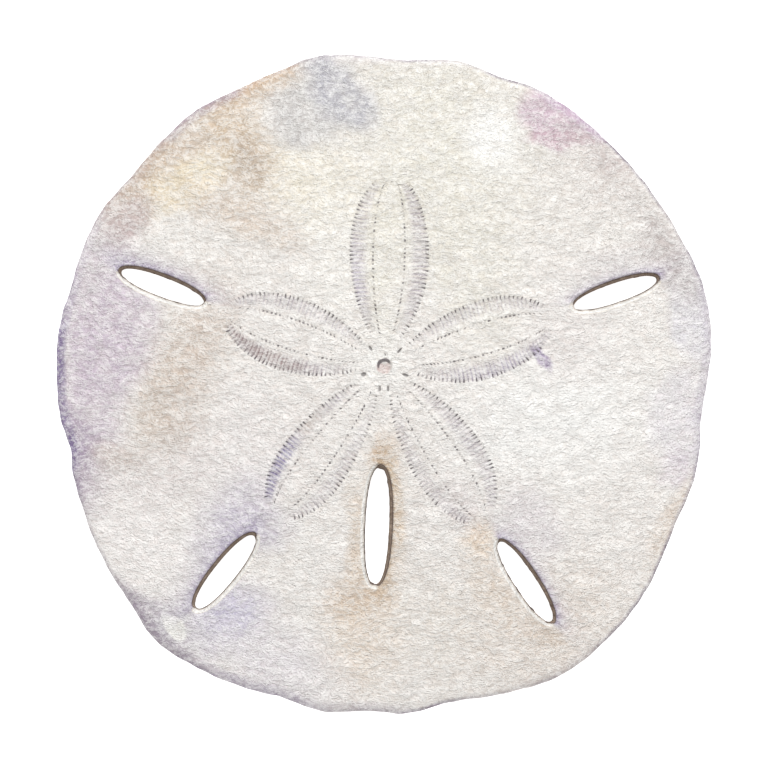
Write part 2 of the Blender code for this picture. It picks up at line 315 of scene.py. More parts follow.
@dataclass(frozen=True)
class Weathering:
    """The fine relief of the worn surface.

    Attributes:
        hollows: Broad, very low unevenness and its height.
        swells: Unevenness of a few millimetres and its height.
        grain: Streaky grain, longer across the animal than along it, and its height.
        flakes: The unevenness that flakes of the surface have left at one place, and their depth.
        flaked: The X, Y and radius of that place.
        plate_radius: How far the raised apical plate reaches.
        plate_height: How high it stands.
        plate_lobes: How much five lobes widen it, as a share, and the direction of one of them in degrees.
        plate_edge: The shares of its radius where it starts to rise and where it is level.
        below: The height of the swells and of the grain on the underside.
    """
    hollows: tuple[Ripple, float] = (Ripple(3, 17.0, 15.0), 0.05)
    swells: tuple[Ripple, float] = (Ripple(7, 5.2, 3.4), 0.022)
    grain: tuple[Ripple, float] = (Ripple(11, 1.9, 0.74, 0.4, 90), 0.036)
    flakes: tuple[Ripple, float] = (Ripple(31, 2.6, 2.0, 0.4), 0.14)
    flaked: tuple[float, float, float] = (-29.3, -32.4, 4.2)
    plate_radius: float = 3.4
    plate_height: float = 0.1
    plate_lobes: tuple[float, float] = (0.18, 53.0)
    plate_edge: tuple[float, float] = (1.15, 0.55)
    below: tuple[float, float] = (0.02, 0.012)

    def upper(self, x: np.ndarray, y: np.ndarray, apex: tuple[float, float]) -> np.ndarray:
        """What the relief adds to the upper side.

        Args:
            x: The points' X.
            y: The points' Y.
            apex: The middle of the plate.

        Returns:
            The three ripples and a low five-lobed plate, less the flakes that are gone.
        """
        away_x, away_y = x - apex[0], y - apex[1]
        wider, turn = self.plate_lobes
        lobes = 1 + wider * np.cos(5 * (np.arctan2(away_y, away_x) - math.radians(turn)))
        share = np.hypot(away_x, away_y) / (self.plate_radius * lobes)
        plate = self.plate_height * smooth(*self.plate_edge, share)
        waves = sum(ripple.at(x, y) * height for ripple, height in (self.hollows, self.swells, self.grain))
        near = smooth(1.0, 0.6, np.hypot(x - self.flaked[0], y - self.flaked[1]) / self.flaked[2])
        flakes = self.flakes[1] * near * smooth(0.0, 0.2, self.flakes[0].at(x, y))
        return waves + plate - flakes

    def lower(self, x: np.ndarray, y: np.ndarray) -> np.ndarray:
        """What it adds to the underside.

        Args:
            x: The points' X.
            y: The points' Y.

        Returns:
            A small rise by the size of two ripples, so that nothing reaches below what the test rests on.
        """
        swells, grain = self.below
        return swells * np.abs(self.swells[0].at(x, y)) + grain * np.abs(self.grain[0].at(x, y))


class Skin:
    """The test's skin while it is put together: its points with their masks, and its faces."""

    def __init__(self) -> None:
        """Starts with nothing."""
        self.points: list[np.ndarray] = []
        self.masks: dict[Mask, list[np.ndarray]] = {mask: [] for mask in Mask}
        self.faces: list[np.ndarray] = []
        self.count = 0

    def add(self, x: np.ndarray, y: np.ndarray, z: np.ndarray, **masks: np.ndarray) -> np.ndarray:
        """Adds points.

        Args:
            x: Their X, in an array of any shape.
            y: Their Y.
            z: Their Z.
            masks: Masks by name, of the same shape; the others are 0.

        Returns:
            The points' numbers, in the same shape.
        """
        shape = np.shape(x)
        flat = np.stack([np.broadcast_to(v, shape).ravel() for v in (x, y, z)], 1)
        self.points.append(flat)
        for mask in Mask:
            values = masks.get(mask.value, 0.0)
            self.masks[mask].append(np.broadcast_to(values, shape).ravel().astype(float))
        numbers = np.arange(self.count, self.count + len(flat)).reshape(shape)
        self.count += len(flat)
        return numbers

    def all_points(self) -> np.ndarray:
        """Every point so far, one row each."""
        return np.concatenate(self.points)

    def add_strip(self, grid: np.ndarray, closed: bool, flip: bool) -> None:
        """Adds the quads of a grid of points as pairs of triangles.

        Args:
            grid: The points' numbers, by row and column.
            closed: Whether the last column meets the first.
            flip: Turns the faces over. As it is, they face up where rows go in and columns run anticlockwise.
        """
        ahead = np.roll(grid, -1, 1) if closed else grid[:, 1:]
        here = grid if closed else grid[:, :-1]
        a, b, c, d = here[:-1], ahead[:-1], ahead[1:], here[1:]
        halves = [np.stack(corners, -1).reshape(-1, 3) for corners in ((a, b, c), (a, c, d))]
        triangles = np.concatenate(halves)
        self.faces.append(triangles[:, ::-1] if flip else triangles)

    def add_fan(self, ring: np.ndarray, centre: int, flip: bool) -> None:
        """Closes a ring with triangles to its centre.

        Args:
            ring: The numbers of the ring's points, anticlockwise.
            centre: The number of the centre's point.
            flip: Turns the faces over, to face down.
        """
        triangles = np.stack([ring, np.roll(ring, -1), np.full(len(ring), centre)], 1)
        self.faces.append(triangles[:, ::-1] if flip else triangles)

    def fill(
        self, outer: np.ndarray, holes: list[np.ndarray], inner: np.ndarray, stretch: float, flip: bool
    ) -> None:
        """Fills the area between outlines with triangles that are as even as they can be.

        Args:
            outer: The numbers of the points round the outside.
            holes: The same for each hole.
            inner: The numbers of the loose points between them.
            stretch: How much Y is stretched while the triangles are chosen, for points closer along Y.
            flip: Turns the faces over, to face down.
        """
        points = self.all_points()
        numbers = np.concatenate([outer, *holes, inner])
        flat = points[numbers, :2] * (1, stretch)
        edges, start = [], 0
        for loop in (outer, *holes):
            at = np.arange(start, start + len(loop))
            edges += np.stack([at, np.roll(at, -1)], 1).tolist()
            start += len(loop)
        vectors = [Vector(p) for p in flat.tolist()]
        result = delaunay_2d_cdt(vectors, edges, [], 0, 1e-7, True)
        origin = np.array([ids[0] for ids in result[3]])
        triangles = numbers[origin[np.array(result[2])]]
        middle = points[triangles, :2].mean(1)
        keep = inside(middle[:, 0], middle[:, 1], points[outer, :2])
        for hole in holes:
            keep &= ~inside(middle[:, 0], middle[:, 1], points[hole, :2])
        triangles = triangles[keep]
        a, b, c = (points[triangles[:, i], :2] for i in range(3))
        turned = (b - a)[:, 0] * (c - a)[:, 1] - (b - a)[:, 1] * (c - a)[:, 0] < 0
        triangles[turned] = triangles[turned][:, ::-1]
        self.faces.append(triangles[:, ::-1] if flip else triangles)


@dataclass(frozen=True)
class Row:
    """An outer pore row.

    Attributes:
        reach: How far it stands from the petal's axis at its widest.
        widest: The share of the petal where that is.
        tint: How strongly the band beside it is tinted.
        meet: The share where the rows would meet at the apex.
        close: The share where they would close at the tip.
        opening: The power of the share in its slim rise.
        fullness: The root that is taken of the rise.
    """
    reach: float
    widest: float
    tint: float = 0.8
    meet: float = 0.095
    close: float = 1.01
    opening: float = 1.8
    fullness: float = 1.5

    def at(self, share: np.ndarray) -> np.ndarray:
        """The row's distance from the axis.

        Args:
            share: The share of the petal's length.

        Returns:
            A slim rise to the widest place, and then a quarter ellipse.
        """
        rise = np.clip((self.widest - share) / (self.widest - self.meet), 0, 1)
        fall = np.clip((share - self.widest) / (self.close - self.widest), 0, 1)
        opened = (1 - rise**self.opening) ** (1 / self.fullness)
        return self.reach * np.where(share < self.widest, opened, np.sqrt(1 - fall**2))


class Patch(NamedTuple):
    """A grid of points of the upper side, with how deep each is sunk and the masks of its pores and bands."""
    x: np.ndarray
    y: np.ndarray
    sunk: np.ndarray
    pore: np.ndarray
    band: np.ndarray


@dataclass(frozen=True)
class Petal:
    """A petal: on each side an outer row of slit pores and an inner row of longer ones, and a sunken band.

    Attributes:
        name: Which petal it is.
        azimuth: The direction of its axis, in degrees.
        length: Its length from the apex.
        left: The outer row to the left of the axis.
        right: The outer row to its right.
        begin: The share of the length where the rows begin.
        end: The share where they end.
        pitch: The distance from pore to pore along the outer row.
        inner: The inner row's distance from the axis, as a share of the outer row's.
        slit: Half the length of an outer pore near the apex, and what each mm of the row's reach adds to it.
        dash: Half the width of an inner pore.
        slit_depth: How deep an outer pore is.
        dash_depth: How deep an inner pore is.
        band_depth: How deep the band lies.
        furrow_depth: How much deeper the furrow is that joins a pair of pores.
        columns: The places along the row of the five columns of points that each pore has, from its middle.
        streaks: How strongly the band is tinted in each of them.
        streak_range: The least and the most that chance makes of that.
        slit_range: The faintest and the strongest outer pore.
        dash_range: The same for the inner pores.
        jitter: How far chance moves a pore along its row.
        lean: How far chance leans it.
        dash_rows: The rows of points across an inner pore, in half-widths of it from its middle.
        band_rows: The rows between the pores, as shares of the way.
        slit_rows: The rows across an outer pore, in half-lengths of it from its middle.
        slit_marks: How deep an outer pore is in its rows and the one before them, and how dark, for dirt and
        painted shade.
        band_marks: How deep and tinted the band is in the rows from the inner pore to the outer one.
    """
    name: str
    azimuth: float
    length: float
    left: Row
    right: Row
    begin: float = 0.15
    end: float = 0.985
    pitch: float = 0.58
    inner: float = 0.42
    slit: tuple[float, float] = (0.09, 0.022)
    dash: float = 0.085
    slit_depth: float = 0.26
    dash_depth: float = 0.2
    band_depth: float = 0.09
    furrow_depth: float = 0.035
    columns: tuple[float, ...] = (-0.25, -0.14, -0.04, 0.04, 0.14)
    streaks: tuple[float, ...] = (0.35, 0.5, 1.0, 1.0, 0.5)
    streak_range: tuple[float, float] = (0.4, 1.15)
    slit_range: tuple[float, float] = (0.35, 1.0)
    dash_range: tuple[float, float] = (0.25, 0.85)
    jitter: float = 0.06
    lean: float = 0.07
    dash_rows: tuple[float, ...] = (-3.4, -2.0, -1.0, 1.0, 2.0)
    band_rows: tuple[float, ...] = (0.16, 0.32, 0.48, 0.64, 0.82)
    slit_rows: tuple[float, ...] = (-1.45, -1.0, 0.0, 1.0, 1.45)
    slit_marks: tuple[float, ...] = (0.1, 0.25, 0.6, 0.9, 1.0)
    band_marks: tuple[float, ...] = (0.0, 0.35, 0.85, 1.0, 1.0, 1.0, 0.95, 0.7, 0.2)

    def by_column(self, values: np.ndarray, last: float = 0.0) -> np.ndarray:
        """Lays values out by column.

        Args:
            values: One for each pore, or a row for each pore with one for each of its columns.
            last: The value of the column that ends the row of pores.

        Returns:
            A value for each column of points, as an upright array.
        """
        by_pore = values if values.ndim == 2 else np.repeat(values[:, None], len(self.columns), 1)
        return np.append(by_pore.ravel(), last)[:, None]

    def patch(self, disc: Disc, side: Side) -> Patch:
        """One side's pores, as a grid with five columns for each pore and its rows across the band.

        A column leaves the inner row straight across the petal and meets the outer row squarely. For this the
        place at a share w of the outer row's distance r is moved along the axis by
        r r' (1 - w)(w - inner) / (1 - inner).

        Args:
            disc: The disc, for its apex.
            side: The side of the axis.

        Returns:
            The grid, with a column of the mesh as its first axis.
        """
        row = self.left if side is Side.LEFT else self.right
        fine = np.linspace(self.begin, self.end, 400)
        along, off = fine * self.length, row.at(fine)
        run = np.concatenate([[0], np.cumsum(np.hypot(np.diff(along), np.diff(off)))])
        pores = round(run[-1] / self.pitch)
        rng = np.random.default_rng(10 * round(self.azimuth % 360) + side.value + 1)
        centre = (np.arange(pores) + 0.5) * run[-1] / pores + rng.uniform(-self.jitter, self.jitter, pores)
        place = np.append((centre[:, None] + np.array(self.columns)).ravel(), run[-1])
        is_slit = np.array([0.0, 0.0, 1.0, 1.0, 0.0])
        ragged = rng.uniform(0, 0.9, (2, pores))
        is_dash = np.stack([np.zeros(pores), ragged[0], *np.ones((2, pores)), ragged[1]], 1)
        lines = np.array(self.streaks) * rng.uniform(*self.streak_range, (pores, len(self.columns)))
        is_pore = self.by_column(np.tile(is_slit, (pores, 1)))
        is_near = self.by_column(is_dash)
        strong = self.by_column(rng.uniform(*self.slit_range, pores))
        marked = self.by_column(rng.uniform(*self.dash_range, pores))
        tilt = self.by_column(rng.uniform(-self.lean, self.lean, pores))
        streak = self.by_column(lines, last=0.7)
        share = np.interp(place, run, fine)
        r = row.at(share)[:, None]
        slope = np.interp(share, fine, np.gradient(off, along))[:, None]

        half = self.slit[0] + self.slit[1] * r * (0.6 + 0.6 * strong)
        inward = self.inner * r + self.dash * np.array(self.dash_rows)
        outward = r + half * np.array(self.slit_rows)
        first, last = inward[:, -1:], outward[:, :1]
        between = first + (last - first) * np.array(self.band_rows)
        across = np.concatenate([inward, between, outward, outward[:, -1:] + 0.05 * r], 1)
        w = across / r
        u = share[:, None] * self.length + r * slope * (1 - w) * (w - self.inner) / (1 - self.inner)
        u[:, 11:15] += tilt * (0.0, 0.5, 1.0, 0.5)
        v = side.value * across

        rows = np.zeros_like(across)
        dash, slit, band = rows.copy(), rows.copy(), rows.copy()
        dash[:, 2:4] = 1.0
        slit[:, 9:14] = self.slit_marks
        band[:, 5:14] = self.band_marks
        from_end = np.minimum(share - self.begin, self.end - share)[:, None]
        ends = smooth(-0.004, 0.02, from_end)
        wide = np.clip(r / 2.2, 0.45, 1)
        slits, dashes = is_pore * strong * slit * ends, is_near * marked * dash * ends
        filled = row.tint * band * ends * smooth(0.12, 0.34, share)[:, None] * smooth(0.5, 1.3, r)
        sunk = (
            self.band_depth * band * ends * wide
            + self.furrow_depth * is_pore * band * wide
            + self.slit_depth * slits * wide
            + self.dash_depth * dashes * wide
        )
        turn = math.radians(self.azimuth)
        x = disc.apex[0] + u * math.cos(turn) - v * math.sin(turn)
        y = disc.apex[1] + u * math.sin(turn) + v * math.cos(turn)
        return Patch(x, y, sunk, np.maximum(slits, dashes), filled * streak)


class Tint(Enum):
    """The stain round a slot, which is painted stronger on the slot's shaded side as painted shade."""
    LILAC = "lilac"
    OCHRE = "ochre"


@dataclass(frozen=True)
class Lunule:
    """A slot through the test, with a sloping wall at the top and a rounded edge below.

    Attributes:
        name: Which slot it is.
        x: The X of its middle.
        y: The Y of its middle.
        azimuth: The direction of its long axis, in degrees.
        length: The length of its throat.
        width: The width of its throat.
        tint: The stain round it.
        shade: The direction, in degrees, of the side whose wall is seen in shade, where painted shade is
            laid.
        halo: How far the stain round it reaches. It is painted stronger on the shaded side, as painted shade.
        blunt: The power of the throat's outline. It is 2 for an ellipse, and more for blunter ends.
        lip: How far each ring of the wall stands out from the throat, and how deep below the surface it lies
            on the lit side, which is rounded over, and on the shaded side, which falls more steeply.
        foot: The same for the rings above the underside, with their height.
        steps: How many points each ring has.
        rough: The unevenness of the wall and its size.
        seen: How broad the brown of the wall is on the lit side, and how much broader on the shaded side,
        where the brown is painted shade as well as stain.
    """
    name: str
    x: float
    y: float
    azimuth: float
    length: float
    width: float
    tint: Tint
    shade: float
    halo: float
    blunt: float = 2.2
    lip: tuple[tuple[float, float, float], ...] = (
        (0.8, 0.0, 0.0), (0.71, 0.01, 0.02), (0.64, 0.03, 0.08), (0.56, 0.07, 0.2), (0.44, 0.15, 0.45),
        (0.3, 0.27, 0.72), (0.17, 0.42, 0.95), (0.08, 0.75, 1.2), (0.0, 2.4, 2.4),
    )
    foot: tuple[tuple[float, float], ...] = ((0.0, 0.8), (0.06, 0.45), (0.2, 0.14), (0.42, 0.0))
    steps: int = 92
    rough: tuple[Ripple, float] = (Ripple(23, 1.6, 1.1), 0.05)
    seen: tuple[float, float] = (0.1, 0.42)

    def ring(self, flare: float) -> tuple[np.ndarray, np.ndarray]:
        """A ring of the wall.

        Args:
            flare: How far it stands out from the throat.

        Returns:
            X and Y of a blunt ellipse, anticlockwise.
        """
        t = np.arange(self.steps) / self.steps * TURN
        u, v = (np.sign(c) * np.abs(c) ** (2 / self.blunt) for c in (np.cos(t), np.sin(t)))
        u, v = u * (self.length / 2 + flare), v * (self.width / 2 + flare)
        turn = math.radians(self.azimuth)
        x = self.x + u * math.cos(turn) - v * math.sin(turn)
        y = self.y + u * math.sin(turn) + v * math.cos(turn)
        return x, y

    def outside(self, x: np.ndarray, y: np.ndarray) -> tuple[np.ndarray, np.ndarray]:
        """How far points lie outside the throat, and how much they lie on its shaded side.

        Args:
            x: The points' X.
            y: The points' Y.

        Returns:
            About the distance from the ellipse, by the ellipse of the same shape that the point is on, and
            the cosine between the way out of the slot and the direction of the shaded side.
        """
        turn = math.radians(self.azimuth)
        u = (x - self.x) * math.cos(turn) + (y - self.y) * math.sin(turn)
        v = (y - self.y) * math.cos(turn) - (x - self.x) * math.sin(turn)
        a, b = self.length / 2, self.width / 2
        level = np.hypot(u / a, v / b)
        steep = np.maximum(np.hypot(u / a**2, v / b**2), 1e-6)
        distance = (level - 1) * np.maximum(level, 1e-6) / steep
        nu, nv = u / a**2 / steep, v / b**2 / steep
        nx, ny = nu * math.cos(turn) - nv * math.sin(turn), nu * math.sin(turn) + nv * math.cos(turn)
        return distance, nx * math.cos(math.radians(self.shade)) + ny * math.sin(math.radians(self.shade))


@dataclass(frozen=True)
class Pit:
    """A rounded pit or opening.

    Attributes:
        x: The X of its middle.
        y: The Y of its middle.
        azimuth: The direction of its long axis, in degrees.
        length: Its length.
        width: Its width.
        depth: Its depth.
        profile: For each ring, how far out it is as a share of the half-size, the share of the depth that it
        lies at, and how dark it is painted, for dirt and painted shade.
        lobes: How much five lobes widen it, as a share.
        sway: How far the floor lies off the middle, away from the shaded side, as a share of the half-size.
        steps: How many points each ring has.
        shade: The direction, in degrees, of the side that is seen in shade, where the mark is painted darker.
    """
    x: float
    y: float
    azimuth: float
    length: float
    width: float
    depth: float
    profile: tuple[tuple[float, float, float], ...] = (
        (1.18, 0.0, 0.0), (1.04, 0.1, 0.2), (0.9, 0.4, 0.5), (0.7, 0.85, 0.65), (0.35, 1.0, 0.65),
    )
    lobes: float = 0.0
    sway: float = 0.0
    steps: int = 16
    shade: float = 112.0

    def grid(self) -> Patch:
        """Lays out its rings.

        Returns:
            The rings from the outside in, as a grid with one ring in each row.
        """
        out, deep, dirt = (column[:, None] for column in np.array(self.profile).T)
        t = np.arange(self.steps) / self.steps * TURN
        wide = 1 + self.lobes * np.cos(5 * t)
        u, v = self.length / 2 * out * wide * np.cos(t), self.width / 2 * out * wide * np.sin(t)
        turn = math.radians(self.azimuth)
        x = self.x + u * math.cos(turn) - v * math.sin(turn)
        y = self.y + u * math.sin(turn) + v * math.cos(turn)
        bearing = np.arctan2(y - self.y, x - self.x)
        x = x + self.sway * self.length / 2 * deep * 0.25
        y = y - self.sway * self.length / 2 * deep
        # Painted shade: with sway set, the mark is darker on the side that is seen in shade.
        shaded = smooth(-0.35, 0.75, np.cos(bearing - math.radians(self.shade)))
        mark = dirt * (1 + min(self.sway * 6, 1.0) * (shaded - 1))
        return Patch(x, y, self.depth * deep * np.ones_like(u), mark, np.zeros_like(u))


@dataclass(frozen=True)
class Apex:
    """The apical plate's pits, each placed from the apex: the round middle one, and the pores round it."""
    centre: Pit = Pit(0, 0, 0, 2.0, 2.0, 0.55, (
        (1.2, 0.0, 0.0), (1.1, 0.03, 0.3), (1.0, 0.22, 1.0), (0.9, 0.65, 1.0), (0.8, 0.92, 0.95),
        (0.7, 1.0, 0.1), (0.5, 0.92, 0.0), (0.25, 0.86, 0.0),
    ), 0.03, 0.2, 40)
    pores: tuple[Pit, ...] = (
        Pit(-1.92, 2.4, 123, 0.86, 0.38, 0.34),
        Pit(2.05, 2.1, 52, 0.95, 0.3, 0.34),
        Pit(-2.85, -1.15, 13, 0.8, 0.6, 0.3),
        Pit(2.85, -1.25, -18, 1.0, 0.42, 0.34),
        Pit(-0.66, -3.12, 87, 0.84, 0.38, 0.34),
        Pit(0.48, -3.12, 93, 0.84, 0.36, 0.34),
        Pit(0.1, 1.56, 112, 0.46, 0.17, 0.16),
    )

    def pits(self, disc: Disc) -> list[Pit]:
        """All of them, moved from the apex to the disc's own frame."""
        x, y = disc.apex
        return [replace(pit, x=x + pit.x, y=y + pit.y) for pit in (self.centre, *self.pores)]


@dataclass(frozen=True)
class Branch:
    """One kind of food groove: it leaves at a distance from the mouth and bends away from its petal's axis.

    Attributes:
        start: The distance from the mouth where it leaves.
        end: The distance where it ends.
        off: The degrees from the petal's axis where it leaves.
        bend: The further degrees that it bends away by.
        ease: The distance over which most of the bend is made.
        depth: How deep it is.
        width: Half its width.
    """
    start: float
    end: float
    off: float
    bend: float
    ease: float
    depth: float
    width: float


@dataclass(frozen=True)
class Underside:
    """The mouth side: the mouth, the vent and the forked food grooves.

    Attributes:
        mouth: The opening of the mouth.
        vent: The vent, just in front of the rear slot.
        branches: The kinds of groove, each made on both sides of each petal's axis.
        spacing: The distance between the loose points of the plain surface.
        line_step: The distance between the points of a groove's middle line.
        wander: The degrees that chance leads a groove astray, and the distances that it takes to turn
            and to start.
        banks: Where the lines of points along a groove run, in half-widths of it from its middle.
    """
    mouth: Pit = Pit(0.1, 1.6, 18, 3.8, 3.8, 2.5, (
        (1.7, 0.0, 0.0), (1.35, 0.02, 0.0), (1.12, 0.07, 0.2), (1.0, 0.2, 0.5), (0.94, 0.5, 0.8),
        (0.86, 0.85, 1.0), (0.7, 1.0, 1.0), (0.35, 0.96, 1.0),
    ), 0.06, 0.0, 40)
    vent: Pit = Pit(-0.5, -8.4, 90, 2.4, 1.7, 1.2, (
        (1.4, 0.0, 0.0), (1.15, 0.06, 0.2), (1.0, 0.3, 0.6), (0.85, 0.8, 1.0), (0.5, 1.0, 1.0),
    ), 0.0, 0.0, 24)
    branches: tuple[Branch, ...] = (
        Branch(1.8, 6.6, 0.0, 0.0, 1.0, 0.26, 0.34),
        Branch(6.0, 41.0, 0.0, 15.5, 4.0, 0.26, 0.34),
        Branch(14.0, 33.0, 14.0, 11.5, 7.0, 0.2, 0.28),
        Branch(24.0, 40.0, 15.2, 9.0, 7.0, 0.2, 0.28),
        Branch(19.0, 27.0, 19.5, -2.6, 5.0, 0.12, 0.22),
        Branch(29.0, 38.0, 24.0, 6.5, 5.0, 0.12, 0.22),
        Branch(30.0, 41.5, 15.5, -5.5, 7.0, 0.14, 0.22),
        Branch(10.0, 20.0, 10.0, 13.0, 5.0, 0.12, 0.2),
    )
    spacing: float = 0.95
    line_step: float = 0.4
    wander: tuple[float, float, float] = (0.9, 2.9, 4.0)
    banks: tuple[float, ...] = (-1.6, -0.8, 0.0, 0.8, 1.6)

    def lines(self, petals: tuple[Petal, ...]) -> list[tuple[np.ndarray, np.ndarray, Branch]]:
        """The grooves' middle lines.

        Args:
            petals: The petals, whose azimuths the grooves follow.

        Returns:
            For each groove its X and Y, step by step, and its kind. The degrees from the axis are off plus
            bend times 1 less e to the minus of the distance gone over ease, and a little seeded wander.
        """
        found = []
        astray, turning, start = self.wander
        for number, (petal, side) in enumerate((p, s) for p in petals for s in Side):
            for kind, branch in enumerate(self.branches):
                if branch.bend == 0 and side is Side.RIGHT:
                    continue
                rng = np.random.default_rng(300 + 20 * number + kind)
                out = np.arange(branch.start, branch.end, self.line_step)
                gone = out - branch.start
                wander = astray * np.sin(gone / turning + rng.uniform(0, TURN)) * smooth(0, start, gone)
                off = branch.off + branch.bend * (1 - np.exp(-gone / branch.ease)) + wander
                turn = np.radians(petal.azimuth + side.value * off)
                found.append((self.mouth.x + out * np.cos(turn), self.mouth.y + out * np.sin(turn), branch))
        return found


@dataclass
class SandDollar:
    """The whole test, which builds its skin as one closed mesh.

    Attributes:
        disc: Its plan and dome.
        weathering: Its fine relief.
        petals: The five petals.
        lunules: The five slots.
        apex: The pits of the apical plate.
        underside: The mouth side.
        edge_steps: How many points the margin has.
        edge_turns: Where its rings lie, in degrees from the upper side round to the underside.
        edge_strip: The distances from the edge where the margin's stains start and where they are whole.
        halo_start: The distance from a slot's throat where its halo starts to fade.
        fine_step: The spacing along X and along Y of the loose points of the upper side.
        fine_gap: How far they keep from the petals, the pits and the slots.
        skin: The points and faces made so far.
        side_start: The number of the first point of the side that is being made.
    """
    disc: Disc = Disc()
    weathering: Weathering = Weathering()
    petals: tuple[Petal, ...] = (
        Petal("front", 87.9, 25.6, Row(5.1, 0.63, 0.8), Row(5.3, 0.56, 0.95)),
        Petal("right", 15.7, 23.4, Row(4.9, 0.65, 0.65), Row(5.3, 0.56, 0.95)),
        Petal("rear_right", -57.4, 24.7, Row(5.25, 0.66, 0.85), Row(4.5, 0.66, 0.7)),
        Petal("rear_left", -126.5, 24.9, Row(4.6, 0.7, 0.6), Row(4.5, 0.68, 0.85)),
        Petal("left", 161.2, 22.6, Row(4.95, 0.61, 1.0), Row(4.8, 0.6, 0.75)),
    )
    lunules: tuple[Lunule, ...] = (
        Lunule("left", -30.3, 13.3, 159.2, 12.0, 2.62, Tint.LILAC, 108, 0.95),
        Lunule("right", 31.7, 12.5, 18.7, 11.9, 2.6, Tint.LILAC, 52, 0.6),
        Lunule("rear_left", -21.7, -25.7, 231.3, 12.6, 2.95, Tint.LILAC, 104, 1.25),
        Lunule("rear_right", 19.35, -27.05, -56.6, 12.95, 2.85, Tint.LILAC, 30, 0.7),
        Lunule("rear", -0.9, -19.4, 267.6, 15.95, 3.25, Tint.OCHRE, 45, 0.8, 2.35),
    )
    apex: Apex = Apex()
    underside: Underside = Underside()
    edge_steps: int = 660
    edge_turns: tuple[int, ...] = (0, 20, 38, 54, 68, 80, 90, 108, 128, 150, 180)
    edge_strip: tuple[float, float] = (1.6, 0.7)
    halo_start: float = 0.55
    fine_step: tuple[float, float] = (0.5, 0.27)
    fine_gap: float = 0.19
    skin: Skin = field(default_factory=Skin)
    side_start: int = 0

    def upper_height(self, x: np.ndarray, y: np.ndarray) -> np.ndarray:
        """The height of the worn upper side over points of the plan."""
        dome = self.disc.dome(self.disc.share(x, y), np.arctan2(y, x))
        return dome + self.weathering.upper(x, y, self.disc.apex)

    def add_margin(self) -> tuple[np.ndarray, np.ndarray]:
        """Adds the rounded margin.

        Its section is a quarter ellipse from the shoulder out to the outermost line, and another from there
        in to the underside.

        Returns:
            The ring on the upper side where it starts, and the ring on the underside where it ends.
        """
        disc = self.disc
        azimuth = np.arange(self.edge_steps) / self.edge_steps * TURN
        t = np.radians(self.edge_turns)[:, None]
        share = disc.shoulder + (1 - disc.shoulder) * np.sin(t)
        x, y = disc.plan(share, azimuth)
        worn = self.weathering.upper(x, y, disc.apex)
        top = disc.dome(disc.shoulder, azimuth) + worn
        above = disc.nose_middle + (top - disc.nose_middle) * np.cos(t)
        below = disc.nose_middle * (1 - np.sin(t - math.pi / 2))
        # Painted shade: a dark line along the margin's outer curve.
        rim_shade = smooth(0.6, 0.95, np.sin(t)) * np.ones_like(x)
        grid = self.skin.add(x, y, np.where(t <= math.pi / 2, above, below), rim_shade=rim_shade)
        self.skin.add_strip(grid, closed=True, flip=True)
        return grid[0], grid[-1]

    def add_lunules(self) -> tuple[list[np.ndarray], list[np.ndarray]]:
        """Adds the slots' walls.

        Returns:
            Each slot's ring on the upper side, and each one's ring on the underside.
        """
        tops, feet = [], []
        for lunule in self.lunules:
            rows = []
            for flare, gentle, steep in lunule.lip:
                x, y = lunule.ring(flare)
                shaded = lunule.outside(x, y)[1]
                depth = gentle + (steep - gentle) * smooth(-0.45, 0.45, shaded)
                rough = lunule.rough[1] * lunule.rough[0].at(x + steep, y - steep) * min(1.0, steep)
                # Painted shade: the brown wall is painted broader on the shaded side.
                seen = lunule.seen[0] + lunule.seen[1] * smooth(-0.55, 0.8, shaded)
                # Painted highlight: the lip mask paints the lit side pale, with a white crest.
                lit = smooth(0.35, -0.35, shaded)
                wall = smooth(0.04, -0.14, flare - seen)
                lip = lit * smooth(0.78, 0.6, flare) * smooth(-0.6, 0.5, flare) * (1 - wall)
                z = self.upper_height(x, y) - depth
                rows.append(self.skin.add(x + rough, y + rough, z, wall=wall, lip=lip))
            for flare, height in lunule.foot:
                x, y = lunule.ring(flare)
                rows.append(self.skin.add(x, y, np.full(len(x), height), wall=min(1.0, height / 0.3)))
            self.skin.add_strip(np.stack(rows), closed=True, flip=False)
            tops.append(rows[0])
            feet.append(rows[-1])
            LOG.info("slot %s: %.1f by %.1f mm", lunule.name, lunule.length, lunule.width)
        return tops, feet

    def add_petals(self) -> list[np.ndarray]:
        """Adds the petals' pore rows.

        Returns:
            The outline of each row's grid.
        """
        outlines = []
        for petal in self.petals:
            for side in Side:
                patch = petal.patch(self.disc, side)
                z = self.upper_height(patch.x, patch.y) - patch.sunk
                grid = self.skin.add(patch.x, patch.y, z, pore=patch.pore, band=patch.band)
                self.skin.add_strip(grid, closed=False, flip=side is Side.LEFT)
                sides = (grid[:-1, 0], grid[-1, :-1], grid[:0:-1, -1], grid[0, :0:-1])
                outlines.append(np.concatenate(sides))
            LOG.info("petal %s: %.1f mm long", petal.name, petal.length)
        return outlines

    def add_pit(self, pit: Pit, below: bool) -> np.ndarray:
        """Adds a pit.

        Args:
            pit: The pit.
            below: Whether it is on the underside.

        Returns:
            Its outermost ring.
        """
        patch = pit.grid()
        surface = self.weathering.lower(patch.x, patch.y) if below else self.upper_height(patch.x, patch.y)
        z = surface + patch.sunk if below else surface - patch.sunk
        mark = {"groove" if below else "pore": 0.85 * patch.pore}
        grid = self.skin.add(patch.x, patch.y, z, **mark)
        floor = {name: values[-1].mean(keepdims=True) for name, values in mark.items()}
        centre = self.skin.add(np.array([pit.x]), np.array([pit.y]), z[-1].mean(keepdims=True), **floor)
        self.skin.add_strip(grid, closed=True, flip=below)
        self.skin.add_fan(grid[-1], centre[0], flip=below)
        return grid[0]

